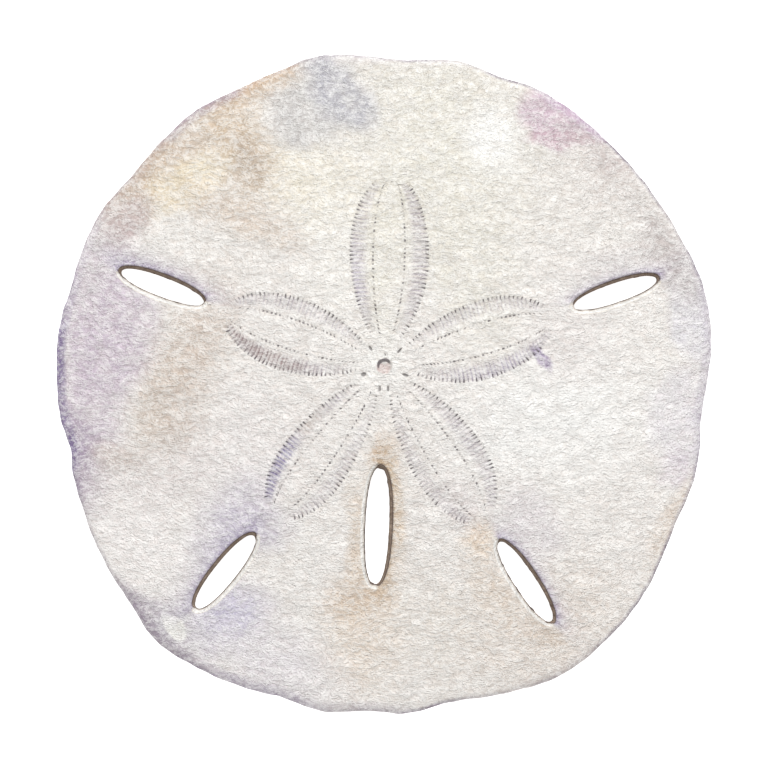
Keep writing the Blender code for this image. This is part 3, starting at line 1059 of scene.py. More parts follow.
    def loose_points(
        self, step_x: float, step_y: float, wobble: float, gap: float
    ) -> tuple[np.ndarray, np.ndarray]:
        """Points laid like bricks over the disc, clear of the points that are there and of the slots.

        Args:
            step_x: Their spacing along X.
            step_y: Their spacing along Y.
            wobble: How far each is moved at random, as a share of the spacing.
            gap: The least distance from the points that are there, within a cell of this size.

        Returns:
            X and Y.
        """
        rng = np.random.default_rng(17)
        half = FIELD - 2
        rows = np.arange(-half, half, step_y)
        x, y = np.meshgrid(np.arange(-half, half, step_x), rows)
        x = x + (np.arange(len(rows)) % 2)[:, None] * step_x / 2
        x = (x + rng.uniform(-wobble, wobble, x.shape) * step_x).ravel()
        y = (y + rng.uniform(-wobble, wobble, y.shape) * step_y).ravel()
        keep = self.disc.share(x, y) < self.disc.shoulder
        for lunule in self.lunules:
            keep &= ~inside(x, y, np.stack(lunule.ring(lunule.lip[0][0]), 1))
        keep &= ~self.near(np.stack([x, y], 1), self.all_plan(), gap)
        return x[keep], y[keep]

    def all_plan(self) -> np.ndarray:
        """X and Y of the points of the side that is being made."""
        return self.skin.all_points()[self.side_start:, :2]

    def add_upper_side(self, edge: np.ndarray, slots: list[np.ndarray]) -> None:
        """Adds the petals, the apical plate and the plain surface between them.

        Args:
            edge: The margin's ring on this side.
            slots: The slots' rings on this side.
        """
        self.side_start = 0
        outlines = self.add_petals()
        outlines += [self.add_pit(pit, below=False) for pit in self.apex.pits(self.disc)]
        x, y = self.loose_points(*self.fine_step, 0.18, self.fine_gap)
        loose = self.skin.add(x, y, self.upper_height(x, y))
        self.skin.fill(edge, slots + outlines, loose, stretch=1.85, flip=False)

    def add_underside(self, edge: np.ndarray, slots: list[np.ndarray]) -> None:
        """Adds the mouth, the vent, the food grooves and the plain surface between them.

        A groove is as deep as its branch says on its middle line, and fades by e to the minus of the squared
        distance over its width.

        Args:
            edge: The margin's ring on this side.
            slots: The slots' rings on this side.
        """
        under = self.underside
        ring_points = self.skin.all_points()[np.concatenate([edge, *slots])]
        self.side_start = self.skin.count
        self.skin.add(ring_points[:, 0], ring_points[:, 1], ring_points[:, 2])
        outlines = [self.add_pit(under.mouth, below=True), self.add_pit(under.vent, below=True)]
        lines = under.lines(self.petals)
        banks = []
        for x, y, branch in lines:
            nx, ny = -np.gradient(y), np.gradient(x)
            size = np.hypot(nx, ny)
            for side in under.banks:
                away = side * branch.width
                banks.append(np.stack([x + away * nx / size, y + away * ny / size], 1))
        bank = self.clear_of_others(np.concatenate(banks), 0.16)
        x, y = self.loose_points(under.spacing, under.spacing, 0.2, 0.3)
        near_bank = self.near(np.stack([x, y], 1), bank, 0.3)
        x, y = np.concatenate([bank[:, 0], x[~near_bank]]), np.concatenate([bank[:, 1], y[~near_bank]])
        depth = np.zeros(len(x))
        for line_x, line_y, branch in lines:
            apart = np.hypot(x[:, None] - line_x, y[:, None] - line_y).min(1)
            depth = np.maximum(depth, branch.depth * np.exp(-((apart / branch.width) ** 2)))
        z = self.weathering.lower(x, y) + depth
        # The groove mask grows with depth: dirt, and painted shade of the hollow.
        loose = self.skin.add(x, y, z, groove=np.clip(depth / 0.22, 0, 1))
        self.skin.fill(edge, slots + outlines, loose, stretch=1.0, flip=True)

    def near(self, points: np.ndarray, others: np.ndarray, gap: float) -> np.ndarray:
        """Whether each point lies in a cell that holds, or is next to one that holds, one of the others.

        Args:
            points: The points, one row each.
            others: The others.
            gap: The cells' size.

        Returns:
            True for each point that does.
        """
        size = int(2 * FIELD / gap) + 3
        taken = np.zeros((size, size), bool)
        there = ((others + FIELD) / gap).astype(int)
        for i in (-1, 0, 1):
            for j in (-1, 0, 1):
                taken[there[:, 0] + i, there[:, 1] + j] = True
        at = ((points + FIELD) / gap).astype(int)
        return taken[at[:, 0], at[:, 1]]

    def clear_of_others(self, points: np.ndarray, gap: float) -> np.ndarray:
        """The points on the underside, one to a cell, clear of the rings, the mouth, the vent and the slots.

        Args:
            points: The points, one row each.
            gap: The cells' size.

        Returns:
            The points that stay.
        """
        cells = (points / gap).round().astype(int)
        _, first = np.unique(cells, axis=0, return_index=True)
        points = points[np.sort(first)]
        keep = self.disc.share(points[:, 0], points[:, 1]) < self.disc.shoulder - 0.01
        keep &= ~self.near(points, self.all_plan(), 0.2)
        for lunule in self.lunules:
            keep &= lunule.outside(points[:, 0], points[:, 1])[0] > lunule.foot[-1][0] + 0.25
        for pit in (self.underside.mouth, self.underside.vent):
            out = np.hypot(points[:, 0] - pit.x, points[:, 1] - pit.y)
            keep &= out > pit.length / 2 * pit.profile[0][0] + 0.1
        return points[keep]

    def shade(self, points: np.ndarray) -> dict[Mask, np.ndarray]:
        """Works out the masks that depend only on a point's place.

        Args:
            points: Every point, one row each.

        Returns:
            The slots' halos, stain that is strongest close to a slot and painted stronger on its shaded side
            as painted shade, the underside's mask, and the strip along the margin.
        """
        x, y, z = points.T
        lilac, ochre = np.zeros(len(x)), np.zeros(len(x))
        for lunule in self.lunules:
            distance, shaded = lunule.outside(x, y)
            halo = np.exp(-np.maximum(distance - self.halo_start, 0) / lunule.halo)
            # Painted shade: each halo, a stain, is made stronger on the slot's shaded side.
            if lunule.tint is Tint.LILAC:
                lilac = np.maximum(lilac, halo * smooth(-0.3, 0.7, shaded))
            else:
                ochre = np.maximum(ochre, halo * (0.25 + 0.75 * smooth(-0.4, 0.6, shaded)))
        under = smooth(0.9, 0.3, z / self.disc.nose_middle)
        edge = smooth(*self.edge_strip, (1 - self.disc.share(x, y)) * self.disc.radius)
        return {Mask.LILAC_HALO: lilac, Mask.OCHRE_HALO: ochre, Mask.UNDER: under, Mask.EDGE: edge}

    def build(self) -> bpy.types.Object:
        """Puts the skin together as one closed mesh, with its masks as attributes.

        Returns:
            The new object, at the origin.
        """
        top_edge, under_edge = self.add_margin()
        tops, feet = self.add_lunules()
        self.add_upper_side(top_edge, tops)
        self.add_underside(under_edge, feet)
        points, faces = self.skin.all_points(), np.concatenate(self.skin.faces)
        masks = {mask: np.concatenate(values) for mask, values in self.skin.masks.items()}
        masks.update(self.shade(points))
        used = np.unique(faces)
        renumber = np.zeros(len(points), int)
        renumber[used] = np.arange(len(used))
        points, faces = points[used], renumber[faces]
        mesh = bpy.data.meshes.new("sand_dollar_test")
        mesh.from_pydata((points * MM).tolist(), [], faces.tolist())
        for mask, values in masks.items():
            attribute = mesh.attributes.new(mask.value, "FLOAT", "POINT")
            attribute.data.foreach_set("value", values[used].astype(np.float32))
        mesh.shade_smooth()
        mesh.update()
        obj = bpy.data.objects.new("sand_dollar_test", mesh)
        bpy.context.scene.collection.objects.link(obj)
        LOG.info("test: %d points and %d triangles", len(points), len(faces))
        return obj


@dataclass
class Wiring:
    """Adds nodes to one node tree and joins them."""
    tree: bpy.types.NodeTree

    def node(self, kind: str, **settings: object) -> bpy.types.Node:
        """Adds a node.

        Args:
            kind: The node's type, without the words ShaderNode.
            settings: Its own properties by name.

        Returns:
            The node.
        """
        made = self.tree.nodes.new("ShaderNode" + kind)
        for name, value in settings.items():
            setattr(made, name, value)
        return made

    def feed(self, socket: Socket, value: object) -> None:
        """Joins a socket to another one, or sets it to a plain value.

        Args:
            socket: The socket that takes it.
            value: An output socket, a number, a vector or a colour.
        """
        if isinstance(value, Socket):
            self.tree.links.new(value, socket)
        else:
            socket.default_value = value

    def fed(self, kind: str, *values: object, **settings: object) -> Socket:
        """Adds a node and feeds its sockets in order.

        Args:
            kind: The node's type, without the words ShaderNode.
            values: What its sockets take.
            settings: Its own properties by name.

        Returns:
            Its first output.
        """
        made = self.node(kind, **settings)
        for socket, value in zip(made.inputs, values):
            self.feed(socket, value)
        return made.outputs[0]

    def math(self, operation: str, *values: object, clamp: bool = False) -> Socket:
        """A Math node's result, which clamp keeps from 0 to 1."""
        return self.fed("Math", *values, operation=operation, use_clamp=clamp)

    def vector(self, operation: str, *values: object) -> Socket:
        """A Vector Math node's vector."""
        return self.fed("VectorMath", *values, operation=operation)

    def measure(self, operation: str, *values: object) -> Socket:
        """A Vector Math node's number, for the operations that give one."""
        return self.vector(operation, *values).node.outputs["Value"]

    def mix(self, factor: object, first: object, second: object, blend: str = "MIX") -> Socket:
        """Adds a Mix node for colours.

        Args:
            factor: How much of the second colour it takes.
            first: The first colour.
            second: The second colour.
            blend: The way that they are blended.

        Returns:
            The mixed colour.
        """
        made = self.node("Mix", data_type="RGBA", blend_type=blend, clamp_factor=True)
        self.feed(made.inputs[0], factor)
        self.feed(made.inputs[6], first)
        self.feed(made.inputs[7], second)
        return made.outputs[2]

    def ramp(
        self, value: object, low: object, high: object, to_low: object = 0.0, to_high: object = 1.0
    ) -> Socket:
        """Adds a soft step.

        Args:
            value: The value to step.
            low: The value where it gives to_low.
            high: The value where it gives to_high.
            to_low: What it gives up to low.
            to_high: What it gives from high on.

        Returns:
            The stepped value.
        """
        steps = (low, high, to_low, to_high)
        return self.fed("MapRange", value, *steps, interpolation_type="SMOOTHSTEP", clamp=True)

    def attribute(self, mask: Mask) -> Socket:
        """A mask of the skin, as a node reads it."""
        return self.node("Attribute", attribute_type="GEOMETRY", attribute_name=mask.value).outputs["Fac"]

    def noise(self, place: object, size: float, detail: float = 3.0, roughness: float = 0.55) -> Socket:
        """Adds noise.

        Args:
            place: The coordinates that it reads.
            size: About how large its lumps are, in millimetres.
            detail: How many finer layers it has.
            roughness: How strong they are.

        Returns:
            Its height, from 0 to 1.
        """
        made = self.node("TexNoise", noise_dimensions="3D")
        self.feed(made.inputs["Vector"], place)
        made.inputs["Scale"].default_value = 1 / (size * MM)
        made.inputs["Detail"].default_value = detail
        made.inputs["Roughness"].default_value = roughness
        return made.outputs[0]

    def warp(self, moved: object, place: object, size: float, reach: tuple[float, float, float]) -> Socket:
        """Moves coordinates by coloured noise.

        Args:
            moved: The coordinates that are moved.
            place: The coordinates that the noise reads.
            size: About how large its lumps are, in millimetres.
            reach: How far apart along each axis its ends move them, in millimetres.

        Returns:
            The moved coordinates.
        """
        made = self.node("TexNoise", noise_dimensions="3D")
        self.feed(made.inputs["Vector"], place)
        made.inputs["Scale"].default_value = 1 / (size * MM)
        shift = self.vector("SUBTRACT", made.outputs["Color"], (0.5, 0.5, 0.5))
        return self.vector("ADD", moved, self.vector("MULTIPLY", shift, [length * MM for length in reach]))


@dataclass(frozen=True)
class Mottle:
    """Soft random blotches: noise, put through a soft step.

    Attributes:
        size: About how large they are.
        layers: How many finer layers they have.
        rough: How strong those are.
        low: The height of the noise up to which they have the first amount.
        high: The height from which they have the second.
        least: The first amount.
        most: The second amount.
    """
    size: float
    layers: float
    rough: float
    low: float
    high: float
    least: float = 0.0
    most: float = 1.0

    def add(self, wire: Wiring, place: Socket) -> Socket:
        """Their amount at a place, added to a material's wiring."""
        height = wire.noise(place, self.size, self.layers, self.rough)
        return wire.ramp(height, self.low, self.high, self.least, self.most)


@dataclass(frozen=True)
class Stain:
    """A natural stain on the upper side.

    Attributes:
        name: What it is and where.
        x: The X of its middle.
        y: The Y of its middle.
        length: Half its length.
        width: Half its width.
        azimuth: The direction of its length, in degrees.
        colour: Its colour on a screen, from 0 to 255.
        strength: How much of the surface's own colour it takes over.
        softness: How soft its edge is, from 0 to 1.
    """
    name: str
    x: float
    y: float
    length: float
    width: float
    azimuth: float
    colour: Colour
    strength: float
    softness: float = 0.7


CREAM = (231, 227, 215)
YELLOW = (239, 226, 200)
TAN = (208, 186, 160)
OCHRE = (203, 176, 148)
PINK = (232, 225, 222)
LILAC = (228, 222, 227)
SLATE = (185, 184, 192)
MAUVE = (205, 181, 195)
CHALK = (251, 250, 247)

UPPER_STAINS = (
    # Painted shade: these two stains dull the front, which faces the lamp, to offset its stronger light
    # there.
    Stain("duller front", 0.0, 31.0, 50.0, 15.0, 0, (227, 222, 215), 0.8, 0.7),
    Stain("dull front margin", 3.0, 42.4, 14.0, 2.2, -3, (219, 213, 207), 0.7, 0.8),
    Stain("cream at the front", 7.7, 34.8, 12.3, 12.3, 0, CREAM, 0.8, 0.9),
    Stain("cream in the front petal", 0.2, 17.7, 3.0, 10.3, -3, CREAM, 0.8, 0.8),
    Stain("cream right of the front petal", 11.1, 18.4, 5.8, 12.3, 10, CREAM, 0.7, 0.8),
    Stain("yellow left of the front petal", -9.4, 27.3, 7.5, 4.4, -20, (238, 230, 211), 0.8, 0.8),
    Stain("pale left of the front petal", -6.7, 17.7, 4.1, 9.6, 0, (243, 240, 233), 0.7, 0.8),
    Stain("tan at the front left", -20.0, 33.4, 7.5, 4.4, -62, TAN, 0.85, 0.7),
    Stain("ochre margin at the front left", -18.6, 40.8, 6.2, 2.3, 24, OCHRE, 0.85, 0.7),
    Stain("tan front margin", -14.9, 41.4, 3.4, 2.2, 18, (212, 197, 181), 0.75, 0.8),
    Stain("grey brown in the tan", -18.3, 30.0, 3.6, 2.7, -60, (190, 174, 158), 0.8, 0.7),
    Stain("brown margin at the front left", -31.3, 28.7, 8.2, 3.6, 50, (200, 176, 152), 0.8, 0.6),
    Stain("yellow patch at the front left", -27.2, 27.7, 5.5, 3.0, 32, YELLOW, 0.95, 0.6),
    Stain("mauve brown before the left slot", -35.5, 22.2, 4.4, 3.0, 55, (197, 181, 180), 0.9, 0.5),
    Stain("grey before the left slot", -33.6, 16.0, 5.2, 2.0, -20, (194, 186, 190), 0.75, 0.8),
    Stain("brown fading to the middle", -19.7, 23.2, 8.2, 2.7, -25, (215, 198, 182), 0.75, 0.8),
    Stain("light slate at the front", -10.4, 37.3, 5.5, 4.7, 20, (201, 198, 197), 0.85, 0.3),
    Stain("slate at the front", -5.7, 39.8, 6.0, 3.0, -48, SLATE, 0.85, 0.3),
    Stain("slate on the front margin", -8.1, 43.6, 3.6, 1.9, 0, SLATE, 0.7, 0.5),
    Stain("mauve at the front right", 23.6, 36.5, 4.9, 3.6, -40, MAUVE, 0.9, 0.25),
    Stain("mauve's darker foot", 25.0, 33.7, 4.7, 1.2, 0, (203, 174, 185), 0.85, 0.3),
    Stain("chalk at the front right", 15.4, 33.7, 3.6, 4.7, 10, CHALK, 0.85, 0.7),
    Stain("pink before the right slot", 29.6, 27.3, 6.2, 4.1, -30, (221, 214, 209), 0.8, 0.9),
    Stain("grey above the right slot", 31.0, 16.7, 5.8, 1.6, 18, (215, 209, 209), 0.6, 0.8),
    Stain("lilac right margin", 41.7, 10.8, 2.5, 8.2, 8, (222, 219, 225), 0.85, 0.3),
    Stain("grey pink before it", 38.6, 18.0, 2.6, 7.5, 27, (196, 187, 185), 0.85, 0.7),
    Stain("grey pink at the front right margin", 29.8, 32.2, 3.0, 5.0, 46, (204, 192, 190), 0.75, 0.8),
    Stain("lilac right margin, rear part", 40.6, -4.9, 3.8, 6.3, -5, LILAC, 0.85, 0.35),
    Stain("mauve behind it", 39.5, -11.5, 2.2, 2.5, 0, (222, 211, 220), 0.7, 0.5),
    Stain("chalk right of the rear right petal", 23.5, -4.9, 11.6, 7.5, 10, CHALK, 0.85, 0.8),
    Stain("pink right of the right petal", 25.5, 6.1, 5.5, 4.7, 0, PINK, 0.7, 0.8),
    Stain("tan right margin", 39.5, -19.3, 1.9, 6.6, -24, (227, 213, 200), 0.8, 0.6),
    Stain("tan at the rear right", 21.4, -33.7, 11.6, 6.9, 25, (227, 216, 206), 0.85, 0.7),
    Stain("brown left of the rear right slot", 15.4, -28.2, 6.3, 2.3, -60, (223, 207, 191), 0.75, 0.9),
    Stain("brown below the rear right slot", 22.5, -33.9, 2.3, 1.4, -30, (207, 191, 175), 0.8, 0.7),
    Stain("tan at the rear right petal's tip", 13.3, -20.5, 1.8, 2.7, 20, (230, 210, 188), 0.9, 0.6),
    Stain("grey pink above the rear right slot", 20.9, -19.3, 5.2, 3.3, -50, (224, 217, 219), 0.85, 0.5),
    Stain("grey pink in the rear right petal's tip", 11.2, -16.0, 3.9, 2.3, -57, (217, 208, 207), 0.7, 0.8),
    Stain("tan between the rear slots", 6.3, -32.3, 8.2, 6.9, 0, (232, 224, 214), 0.6, 0.9),
    Stain("ochre cap of the rear slot", -0.1, -9.3, 1.9, 2.5, 0, OCHRE, 0.9, 0.8),
    Stain("ochre right of the rear slot", 2.1, -16.5, 0.9, 6.9, 2, (222, 203, 181), 0.75, 0.6),
    Stain("ochre left of the rear slot", -4.2, -22.0, 1.3, 8.2, 0, (221, 204, 186), 0.75, 0.8),
    Stain("ochre below the rear slot", -3.2, -29.2, 4.5, 2.5, 16, (207, 185, 163), 0.9, 0.8),
    Stain("ochre fading to the rear", -3.0, -34.6, 4.7, 6.9, 5, (233, 217, 200), 0.75, 0.9),
    Stain("violet at the left", -37.8, 7.4, 9.6, 6.6, 85, (205, 191, 204), 0.95, 0.4),
    Stain("lilac before it", -41.0, 15.0, 2.4, 4.6, -18, (203, 192, 200), 0.65, 0.8),
    Stain("violet behind it", -40.9, -4.9, 4.7, 8.2, 0, (203, 189, 202), 0.85, 0.6),
    Stain("violet beside the left margin", -41.7, -10.8, 2.9, 6.2, 8, (166, 149, 173), 0.85, 0.6),
    Stain("violet at the rear left petal's tip", -15.8, -19.6, 3.2, 2.0, 20, (203, 196, 207), 0.8, 0.8),
    Stain("dark spot in the rear left margin", -29.2, -35.2, 1.5, 0.9, -35, (180, 170, 180), 0.85, 0.25),
    Stain("brown at the left", -26.6, 3.8, 4.2, 9.0, -20, (203, 184, 168), 0.75, 0.95),
    Stain("darker brown at the left", -29.0, -4.8, 4.6, 4.6, -20, (202, 185, 170), 0.75, 0.9),
    Stain("brown spot at the left", -35.9, -9.8, 3.3, 1.6, -10, (203, 188, 178), 0.8, 0.7),
    Stain("pink brown behind it", -31.3, -13.1, 8.2, 4.1, 0, (220, 211, 208), 0.75, 0.8),
    Stain("violet above the rear left slot", -20.9, -18.8, 6.2, 3.3, 45, (203, 196, 212), 0.85, 0.95),
    Stain("lilac at the rear left", -18.3, -36.4, 11.0, 4.7, -25, LILAC, 0.8, 0.8),
    Stain("violet below the rear left slot", -20.9, -32.0, 4.6, 3.2, 40, (204, 198, 219), 0.9, 0.85),
    Stain("pale pink at the rear left", -34.8, -21.3, 6.9, 6.9, 0, (246, 240, 238), 0.7, 0.8),
    Stain("dark patch at the rear left margin", -31.6, -31.8, 5.2, 2.6, -42, (188, 179, 187), 0.9, 0.4),
    Stain("grey round the chalk patch", -28.4, -33.4, 4.2, 2.9, -45, (203, 197, 202), 0.85, 0.5),
    Stain("chalk patch beside it", -28.2, -33.2, 2.5, 1.5, -45, (252, 250, 243), 0.95, 0.2),
    Stain("lilac left of the rear left petal", -19.7, -9.0, 8.2, 6.9, 0, (235, 228, 228), 0.5, 0.9),
    Stain("chalk on the apical plate", 0.0, 2.5, 3.6, 3.6, 0, (248, 246, 241), 0.6, 0.8),
    Stain("pink floor of the apical pit", 0.1, 2.95, 0.8, 0.8, 0, (214, 194, 190), 0.9, 0.25),
    Stain("purple blotch at the right petal", 22.6, 3.3, 1.9, 0.85, -52, (152, 132, 174), 0.85, 0.35),
)

BAND_STAINS = (
    Stain("violet in the rear left band", -14.6, -11.8, 1.9, 5.6, -20, (124, 114, 162), 0.9, 0.6),
    Stain("brown in the left band", -16.6, 4.7, 6.5, 1.8, -33, (152, 130, 126), 0.75, 0.6),
    Stain("brown in the rear right band", 13.2, -17.0, 3.0, 2.0, -57, (165, 150, 150), 0.6, 0.7),
    Stain("tan in the rear left band", -10.5, -5.4, 2.0, 2.0, 0, (214, 200, 184), 0.6, 0.8),
    Stain("lilac in the right band", 16.4, 1.4, 6.0, 1.8, 16, (190, 180, 202), 0.7, 0.8),
    Stain("lilac in the front band", -3.7, 14.5, 1.6, 5.0, 0, (202, 194, 214), 0.7, 0.9),
)

MARGIN_STAINS = (
    # Partly stain and partly painted shade: the left margin is painted darker violet.
    Stain("violet left margin", -44.3, -2.2, 3.4, 15.0, 0, (132, 116, 156), 0.95, 0.4),
    Stain("lilac margin before it", -41.6, 16.7, 8.2, 2.6, 65, (196, 186, 200), 0.6, 0.5),
    Stain("brown margin before that", -34.8, 28.0, 6.9, 2.6, 48, (190, 170, 160), 0.7, 0.6),
    Stain("purple brown margin", -24.8, 38.2, 8.0, 2.8, 35, (168, 150, 160), 0.9, 0.4),
    Stain("ochre margin", -15.9, 42.2, 3.6, 2.4, 18, (206, 178, 150), 0.8, 0.5),
    Stain("grey front margin", 2.2, 44.8, 9.0, 1.6, 0, (205, 200, 205), 0.5, 0.5),
    Stain("purple margin at the front right", 26.0, 37.5, 5.5, 1.8, -38, (196, 172, 196), 0.7, 0.5),
    Stain("lilac right margin's edge", 43.7, 0.6, 2.4, 15.0, 0, (198, 190, 202), 0.7, 0.5),
    Stain("brown margin at the rear right", 24.0, -40.0, 9.0, 2.4, 27, (206, 196, 192), 0.5, 0.5),
    Stain("grey rear margin", -4.6, -44.4, 8.2, 2.0, 0, (190, 182, 190), 0.6, 0.5),
    Stain("lilac rear left margin", -18.3, -40.5, 8.8, 2.6, -22, (182, 172, 188), 0.8, 0.5),
    Stain("dark rear left margin", -31.3, -33.0, 8.2, 2.8, -45, (160, 148, 162), 0.9, 0.4),
)


@dataclass(frozen=True)
class ChalkFinish:
    """The finish of the dried, sun-bleached test: matt chalk, with a streaky grain, stains, pores dark with
    dirt and painted shade, and painted shade and highlight at the slots and the margin.

    Attributes:
        base: The plain colour on a screen.
        duller_patch: The colour of its broad duller places.
        pale: The colour of the grain's crests.
        dull: The colour of its hollows.
        band: The colour of the pore bands.
        wall: The brown of the slots' walls: stain, and painted shade on the shaded side.
        stained: The colour of the patches in them.
        brink: The colour of their dark upper edge, painted shade.
        lip: The colour of the painted highlight on the slots' lit side.
        crest: The colour of the brighter painted highlight along its crest.
        pore: The dark colour of the pores: dirt, and painted shade of the hollows.
        rim_shade: The colour of the dark line of painted shade along the margin's outer curve.
        lilac: The lilac halo's colour.
        ochre: The ochre halo's colour.
        under: The underside's colour.
        groove: The dark colour of the food grooves: dirt, and painted shade of the hollows.
        roughness: The least and the most roughness.
        specular: How strongly it reflects.
        broad: Where the plain colour is duller.
        mottle: How strong the stains are from place to place.
        patchy: The same for the pore bands' own colour.
        broken: The same for the margin's dark line of painted shade.
        uneven: The same for the margin's stains.
        patches: Where the slots' walls are stained.
        duller: How much of the shadowed colour the broad places take.
        halo: How strong the slots' halos are. They are stain, and painted shade on the shaded side.
        paler: How much of the pale colour the grain's crests take.
        darker: How much of the dull colour its hollows take.
        groove_dirt_and_shade: How strongly the food grooves take that colour of dirt and painted shade.
        pore_dirt_and_shade: How strongly the pores take that colour of dirt and painted shade.
        wander: The sizes of the noises that the stains' outlines wander by, and how far.
        grain_bend: The size of the noise that bends the grain, and how far along each axis.
        grain_layers: The coarse and fine streaks and the folds: how each is squeezed, its size and its
            roughness.
        grain_shares: How high the coarse streaks, the fine ones and the creases of the folds are.
        tubercles: The size of the tubercles, and their height as a share of the grain's.
        bump: The height of the finest relief.
    """
    base: Colour = (239, 234, 229)
    duller_patch: Colour = (231, 224, 219)
    pale: Colour = (250, 249, 246)
    dull: Colour = (216, 209, 204)
    band: Colour = (175, 165, 175)
    wall: Colour = (182, 163, 146)
    stained: Colour = (152, 132, 117)
    brink: Colour = (120, 104, 98)
    lip: Colour = (234, 226, 215)
    crest: Colour = (253, 251, 247)
    pore: Colour = (108, 100, 104)
    rim_shade: Colour = (130, 118, 134)
    lilac: Colour = (170, 159, 187)
    ochre: Colour = (206, 180, 148)
    under: Colour = (226, 219, 208)
    groove: Colour = (168, 152, 136)
    roughness: tuple[float, float] = (0.78, 0.96)
    specular: float = 0.25
    broad: Mottle = Mottle(7.0, 4.0, 0.55, 0.35, 0.7)
    mottle: Mottle = Mottle(2.2, 4.0, 0.6, 0.25, 0.75, 0.6, 1.15)
    patchy: Mottle = Mottle(3.0, 3.0, 0.55, 0.2, 0.8, 0.7, 1.1)
    broken: Mottle = Mottle(6.0, 2.0, 0.55, 0.35, 0.6, 0.4, 0.95)
    uneven: Mottle = Mottle(1.6, 3.0, 0.6, 0.3, 0.7, 0.55, 1.1)
    patches: Mottle = Mottle(0.9, 3.0, 0.55, 0.3, 0.7)
    duller: float = 0.4
    halo: float = 0.8
    paler: float = 0.45
    darker: float = 0.32
    groove_dirt_and_shade: float = 0.55
    pore_dirt_and_shade: float = 0.85
    wander: tuple[tuple[float, float], ...] = ((11.0, 5.0), (2.4, 1.3))
    grain_bend: tuple[float, tuple[float, float, float]] = (3.0, (1.4, 1.8, 1.0))
    grain_layers: tuple[tuple[tuple[float, float, float], float, float], ...] = (
        ((0.5, 1.0, 0.6), 0.55, 0.5), ((0.75, 1.0, 0.7), 0.2, 0.7), ((0.5, 1.0, 0.6), 0.7, 0.6),
    )
    grain_shares: tuple[float, float, float] = (0.52, 0.5, 0.1)
    tubercles: tuple[float, float] = (0.42, 0.12)
    bump: float = 0.68

    def stain_group(self) -> bpy.types.NodeTree:
        """The node group that shapes one stain.

        Returns:
            A group whose Mask is Strength inside an ellipse, and falls softly to 0 from the share Inner of
            its half-size to the share Outer. Along and Across are its axes, each 1 over its half-size long.
        """
        group = bpy.data.node_groups.new("natural_stain", "ShaderNodeTree")
        sockets = group.interface
        for name in ("Position", "Place", "Along", "Across"):
            sockets.new_socket(name, in_out="INPUT", socket_type="NodeSocketVector")
        for name in ("Outer", "Inner", "Strength"):
            sockets.new_socket(name, in_out="INPUT", socket_type="NodeSocketFloat")
        sockets.new_socket("Mask", in_out="OUTPUT", socket_type="NodeSocketFloat")
        wire = Wiring(group)
        given, result = group.nodes.new("NodeGroupInput"), group.nodes.new("NodeGroupOutput")
        away = wire.vector("SUBTRACT", given.outputs["Position"], given.outputs["Place"])
        axes = (given.outputs["Along"], given.outputs["Across"])
        along, across = (wire.measure("DOT_PRODUCT", away, axis) for axis in axes)
        length = wire.measure("LENGTH", wire.fed("CombineXYZ", along, across))
        limits = (given.outputs["Outer"], given.outputs["Inner"], 0.0, given.outputs["Strength"])
        wire.feed(result.inputs["Mask"], wire.ramp(length, *limits))
        return group

    def grain_group(self) -> bpy.types.NodeTree:
        """The node group of the streaky grain.

        Returns:
            A group with the grain's Height, from 0 to 1, and its Tone, which is high on pale crests.
        """
        group = bpy.data.node_groups.new("streaky_grain", "ShaderNodeTree")
        group.interface.new_socket("Position", in_out="INPUT", socket_type="NodeSocketVector")
        for name in ("Height", "Tone"):
            group.interface.new_socket(name, in_out="OUTPUT", socket_type="NodeSocketFloat")
        wire = Wiring(group)
        given, result = group.nodes.new("NodeGroupInput"), group.nodes.new("NodeGroupOutput")
        moved = wire.warp(given.outputs["Position"], given.outputs["Position"], *self.grain_bend)
        coarse, fine, fold = (
            wire.noise(wire.vector("MULTIPLY", moved, squeeze), size, 2.0, rough)
            for squeeze, size, rough in self.grain_layers
        )
        crease = wire.ramp(wire.math("ABSOLUTE", wire.math("SUBTRACT", fold, 0.5)), 0.07, 0.0)
        parts = zip((coarse, fine, crease), self.grain_shares)
        coarse, fine, crease = (wire.math("MULTIPLY", part, share) for part, share in parts)
        height = wire.math("ADD", wire.math("ADD", coarse, fine), crease)
        wire.feed(result.inputs["Height"], height)
        wire.feed(result.inputs["Tone"], wire.ramp(height, 0.32, 0.68))
        return group

    def material(self) -> bpy.types.Material:
        """The whole finish, laid on from the plain colour to the pores' dark colour of dirt and painted
        shade.

        Returns:
            A material that reads Object coordinates and the skin's masks.
        """
        made = bpy.data.materials.new("chalky_test")
        made.use_nodes = True
        wire = Wiring(made.node_tree)
        shader = made.node_tree.nodes["Principled BSDF"]
        place = wire.node("TexCoord").outputs["Object"]
        grain = wire.node("Group", node_tree=self.grain_group())
        wire.feed(grain.inputs["Position"], place)
        tone, height = grain.outputs["Tone"], grain.outputs["Height"]

        broad = self.broad.add(wire, place)
        duller = wire.math("MULTIPLY", broad, self.duller)
        colour = wire.mix(duller, linear(*self.base), linear(*self.duller_patch))
        colour = self.stained_colour(wire, colour, place)
        beneath = wire.mix(broad, linear(*self.under), linear(*self.base))
        colour = wire.mix(wire.attribute(Mask.UNDER), colour, beneath)
        colour = self.grained_colour(wire, colour, tone)
        # The food grooves, the mouth and the vent are darkened for dirt and painted shade.
        dirt = wire.math("MULTIPLY", wire.attribute(Mask.GROOVE), self.groove_dirt_and_shade)
        colour = wire.mix(dirt, colour, linear(*self.groove))
        colour = self.slot_colour(wire, colour, place)
        # The pores are darkened for dirt and painted shade.
        dirt = wire.ramp(wire.attribute(Mask.PORE), 0.1, 0.8, 0.0, self.pore_dirt_and_shade)
        wire.feed(shader.inputs["Base Color"], wire.mix(dirt, colour, linear(*self.pore)))
        wire.feed(shader.inputs["Roughness"], wire.ramp(tone, 0.0, 1.0, self.roughness[1], self.roughness[0]))
        shader.inputs["Specular IOR Level"].default_value = self.specular
        wire.feed(shader.inputs["Normal"], self.relief(wire, place, height))
        return made

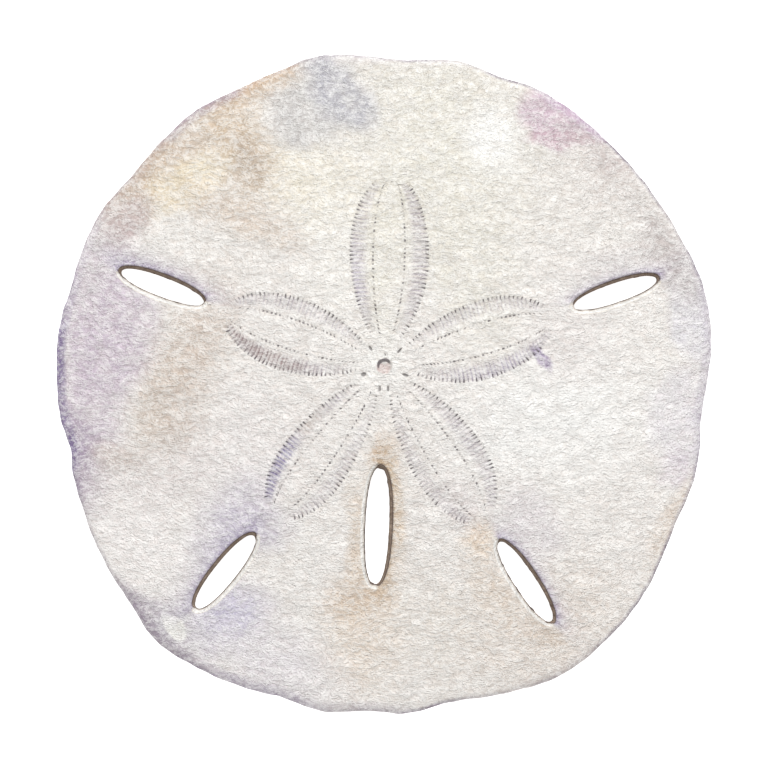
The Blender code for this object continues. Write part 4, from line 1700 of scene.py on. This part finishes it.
    def stained_colour(self, wire: Wiring, colour: Socket, place: Socket) -> Socket:
        """Lays the stains, the pore bands, the slots' halos of stain and painted shade, and the dark margin
        with its line of painted shade and its stains, over a colour.

        Args:
            wire: The material's wiring.
            colour: The colour under them.
            place: Object coordinates.

        Returns:
            The colour with them.
        """
        self.stain_group()
        warped = self.stain_place(wire, place)
        above = wire.math("SUBTRACT", 1.0, wire.attribute(Mask.UNDER))
        limit = wire.math("MULTIPLY", above, self.mottle.add(wire, place))
        colour = self.add_stains(wire, colour, warped, UPPER_STAINS, limit)
        band = wire.attribute(Mask.BAND)
        amount = wire.math("MULTIPLY", band, self.patchy.add(wire, place))
        colour = wire.mix(amount, colour, linear(*self.band))
        filled = wire.math("MULTIPLY", band, 1.3, clamp=True)
        colour = self.add_stains(wire, colour, warped, BAND_STAINS, filled)
        # The halos are stain, painted stronger on the slots' shaded sides as painted shade.
        for mask, tint in ((Mask.LILAC_HALO, self.lilac), (Mask.OCHRE_HALO, self.ochre)):
            colour = wire.mix(wire.math("MULTIPLY", wire.attribute(mask), self.halo), colour, linear(*tint))
        # Painted shade: the dark line along the margin, broken up by noise.
        amount = wire.math("MULTIPLY", wire.attribute(Mask.RIM_SHADE), self.broken.add(wire, place))
        colour = wire.mix(amount, colour, linear(*self.rim_shade))
        strip = wire.math("MULTIPLY", wire.attribute(Mask.EDGE), above)
        limit = wire.math("MULTIPLY", strip, self.uneven.add(wire, place))
        return self.add_stains(wire, colour, warped, MARGIN_STAINS, limit)

    def grained_colour(self, wire: Wiring, colour: Socket, tone: Socket) -> Socket:
        """Makes the grain's crests paler and its hollows duller.

        Args:
            wire: The material's wiring.
            colour: The colour without them.
            tone: The grain's tone.

        Returns:
            The colour with them.
        """
        pale = wire.math("MULTIPLY", wire.ramp(tone, 0.4, 1.0), self.paler)
        lighter = wire.mix(pale, colour, linear(*self.pale))
        dull = wire.math("MULTIPLY", wire.ramp(tone, 0.6, 0.0), self.darker)
        return wire.mix(dull, lighter, linear(*self.dull), "MULTIPLY")

    def slot_colour(self, wire: Wiring, colour: Socket, place: Socket) -> Socket:
        """Lays the slots' lit lips, in painted highlight, and their brown walls with a dark brink, in stain
        and painted shade, over a colour.

        Args:
            wire: The material's wiring.
            colour: The colour under them.
            place: Object coordinates.

        Returns:
            The colour with them.
        """
        lip, wall = wire.attribute(Mask.LIP), wire.attribute(Mask.WALL)
        lip_highlight = wire.mix(wire.ramp(lip, 0.75, 1.0), linear(*self.lip), linear(*self.crest))
        lipped = wire.mix(wire.ramp(lip, 0.05, 0.6, 0.0, 0.9), colour, lip_highlight)
        # The walls' brown and dark brink are stain and painted shade.
        worn = wire.mix(self.patches.add(wire, place), linear(*self.wall), linear(*self.stained))
        edged = wire.mix(wire.ramp(wall, 0.55, 1.0), linear(*self.brink), worn)
        return wire.mix(wire.ramp(wall, 0.0, 0.4), lipped, edged)

    def relief(self, wire: Wiring, place: Socket, height: Socket) -> Socket:
        """The finest relief: the grain's height, and tiny round tubercles.

        Args:
            wire: The material's wiring.
            place: Object coordinates.
            height: The grain's height.

        Returns:
            The bumped normal.
        """
        cells = wire.node("TexVoronoi", voronoi_dimensions="3D", feature="SMOOTH_F1")
        wire.feed(cells.inputs["Vector"], place)
        cells.inputs["Scale"].default_value = 1 / (self.tubercles[0] * MM)
        cells.inputs["Smoothness"].default_value = 0.4
        dots = wire.ramp(cells.outputs["Distance"], 0.5, 0.0)
        total = wire.math("ADD", height, wire.math("MULTIPLY", dots, self.tubercles[1]))
        bump = wire.node("Bump")
        bump.inputs["Distance"].default_value = self.bump * MM
        wire.feed(bump.inputs["Height"], total)
        return bump.outputs[0]

    def stain_place(self, wire: Wiring, place: Socket) -> Socket:
        """The coordinates that the stains' ellipses are drawn in.

        Args:
            wire: The material's wiring.
            place: Object coordinates.

        Returns:
            Object coordinates laid flat and warped by two noises, so that a stain's edge wanders.
        """
        flat = wire.vector("MULTIPLY", place, (1.0, 1.0, 0.0))
        for size, reach in self.wander:
            flat = wire.warp(flat, place, size, (reach, reach, 0.0))
        return flat

    def add_stain(self, wire: Wiring, colour: object, place: Socket, stain: Stain, limit: object) -> Socket:
        """Lays one stain over a colour.

        Args:
            wire: The material's wiring.
            colour: The colour under it.
            place: The warped coordinates.
            stain: The stain.
            limit: The mask that it keeps to.

        Returns:
            The colour with the stain.
        """
        shape = wire.node("Group", node_tree=bpy.data.node_groups["natural_stain"], label=stain.name)
        wire.feed(shape.inputs["Position"], place)
        shape.inputs["Place"].default_value = (stain.x * MM, stain.y * MM, 0.0)
        turn, length, width = math.radians(stain.azimuth), stain.length * MM, stain.width * MM
        shape.inputs["Along"].default_value = (math.cos(turn) / length, math.sin(turn) / length, 0.0)
        shape.inputs["Across"].default_value = (-math.sin(turn) / width, math.cos(turn) / width, 0.0)
        shape.inputs["Outer"].default_value = 1 + stain.softness
        shape.inputs["Inner"].default_value = 1 - stain.softness
        shape.inputs["Strength"].default_value = stain.strength
        amount = wire.math("MULTIPLY", shape.outputs["Mask"], limit)
        return wire.mix(amount, colour, linear(*stain.colour))

    def add_stains(
        self, wire: Wiring, colour: Socket, place: Socket, stains: tuple[Stain, ...], limit: object
    ) -> Socket:
        """Lays stains over a colour.

        Args:
            wire: The material's wiring.
            colour: The colour under them.
            place: The coordinates that their ellipses are drawn in.
            stains: The stains, the lowest first.
            limit: The mask that they keep to.

        Returns:
            The colour with them.
        """
        for stain in stains:
            colour = self.add_stain(wire, colour, place, stain, limit)
        return colour


@dataclass(frozen=True)
class Studio:
    """A plain white floor that glows like a light table, an even white sky, one soft lamp and the camera.

    Attributes:
        frame_width: The width of what the picture shows, at the height of the margin.
        frame_middle: The X and Y of the picture's middle.
        lens: The camera's lens, long enough to keep the plan true.
        sensor: The camera's sensor.
        level: The height at which the picture's width is measured.
        sky: The brightness of the sky as a light.
        glow: The brightness of the floor's own light.
        lamp_azimuth: The direction that the lamp's light comes from, in degrees.
        lamp_elevation: Its height above the horizon, in degrees.
        lamp_distance: Its distance.
        lamp_power: Its power, in watts.
        lamp_size: The length of its sides.
    """
    frame_width: float = 105.2
    frame_middle: tuple[float, float] = (0.03, 0.03)
    lens: float = 700.0
    sensor: float = 36.0
    level: float = 2.0
    sky: float = 0.71
    glow: float = 0.96
    lamp_azimuth: float = 84.0
    lamp_elevation: float = 57.0
    lamp_distance: float = 1800.0
    lamp_power: float = 22.0
    lamp_size: float = 420.0

    def add_camera(self) -> None:
        """Adds the camera, straight above, as far away as its lens needs for the picture's width."""
        data = bpy.data.cameras.new("camera")
        data.lens, data.sensor_width = self.lens, self.sensor
        data.clip_start, data.clip_end = 0.05, 10.0
        camera = bpy.data.objects.new("camera", data)
        distance = self.frame_width * self.lens / self.sensor
        camera.location = (self.frame_middle[0] * MM, self.frame_middle[1] * MM, (self.level + distance) * MM)
        bpy.context.scene.collection.objects.link(camera)
        bpy.context.scene.camera = camera

    def add_lamp(self) -> None:
        """Adds the soft lamp, aimed at the middle of the test."""
        data = bpy.data.lights.new("soft_lamp", "AREA")
        data.size, data.energy = self.lamp_size * MM, self.lamp_power
        lamp = bpy.data.objects.new("soft_lamp", data)
        azimuth, elevation = math.radians(self.lamp_azimuth), math.radians(self.lamp_elevation)
        level = math.cos(elevation)
        away = Vector((math.cos(azimuth) * level, math.sin(azimuth) * level, math.sin(elevation)))
        lamp.location = away * self.lamp_distance * MM
        lamp.rotation_mode = "QUATERNION"
        lamp.rotation_quaternion = away.to_track_quat("Z", "Y")
        bpy.context.scene.collection.objects.link(lamp)

    def add_sky(self) -> None:
        """Adds the even sky, which looks pure white and lights the test a little less."""
        world = bpy.data.worlds.new("white_room")
        world.use_nodes = True
        world.node_tree.nodes.clear()
        wire = Wiring(world.node_tree)
        light, seen = wire.fed("Background", WHITE, self.sky), wire.fed("Background", WHITE, 1.0)
        to_camera = wire.node("LightPath").outputs["Is Camera Ray"]
        choice = wire.fed("MixShader", to_camera, light, seen)
        wire.feed(wire.node("OutputWorld").inputs["Surface"], choice)
        bpy.context.scene.world = world

    def add_floor(self) -> bpy.types.Object:
        """Adds the floor.

        Returns:
            The floor, a hair below the test.
        """
        half, low = 4.0, -0.03 * MM
        mesh = bpy.data.meshes.new("floor")
        corners = [(-half, -half, low), (half, -half, low), (half, half, low), (-half, half, low)]
        mesh.from_pydata(corners, [], [(0, 1, 2, 3)])
        floor = bpy.data.objects.new("floor", mesh)
        bpy.context.scene.collection.objects.link(floor)
        material = bpy.data.materials.new("white_floor")
        material.use_nodes = True
        wire = Wiring(material.node_tree)
        shader = material.node_tree.nodes["Principled BSDF"]
        shader.inputs["Base Color"].default_value = (0.6, 0.6, 0.6, 1.0)
        shader.inputs["Roughness"].default_value = 0.9
        shader.inputs["Emission Color"].default_value = WHITE
        shader.inputs["Emission Strength"].default_value = self.glow
        behind = wire.node("NewGeometry").outputs["Backfacing"]
        choice = wire.fed("MixShader", behind, shader.outputs[0], wire.fed("BsdfTransparent"))
        wire.feed(material.node_tree.nodes["Material Output"].inputs["Surface"], choice)
        mesh.materials.append(material)
        return floor

    def build(self) -> bpy.types.Object:
        """Adds everything.

        Returns:
            The floor.
        """
        bpy.context.scene.view_settings.view_transform = "Standard"
        self.add_camera()
        self.add_lamp()
        self.add_sky()
        return self.add_floor()


def main() -> None:
    """Builds the studio and the test, dresses the test and says how each piece moves."""
    logging.basicConfig(level=logging.INFO, format="%(name)s: %(message)s")
    Studio().build()
    LOG.info("studio: floor, sky, lamp and camera")
    test = SandDollar().build()
    test.data.materials.append(ChalkFinish().material())
    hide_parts("test")
    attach(test, "root")
    LOG.info("%s: rides on root and replaces test", test.name)


if __name__ == "__main__":
    main()
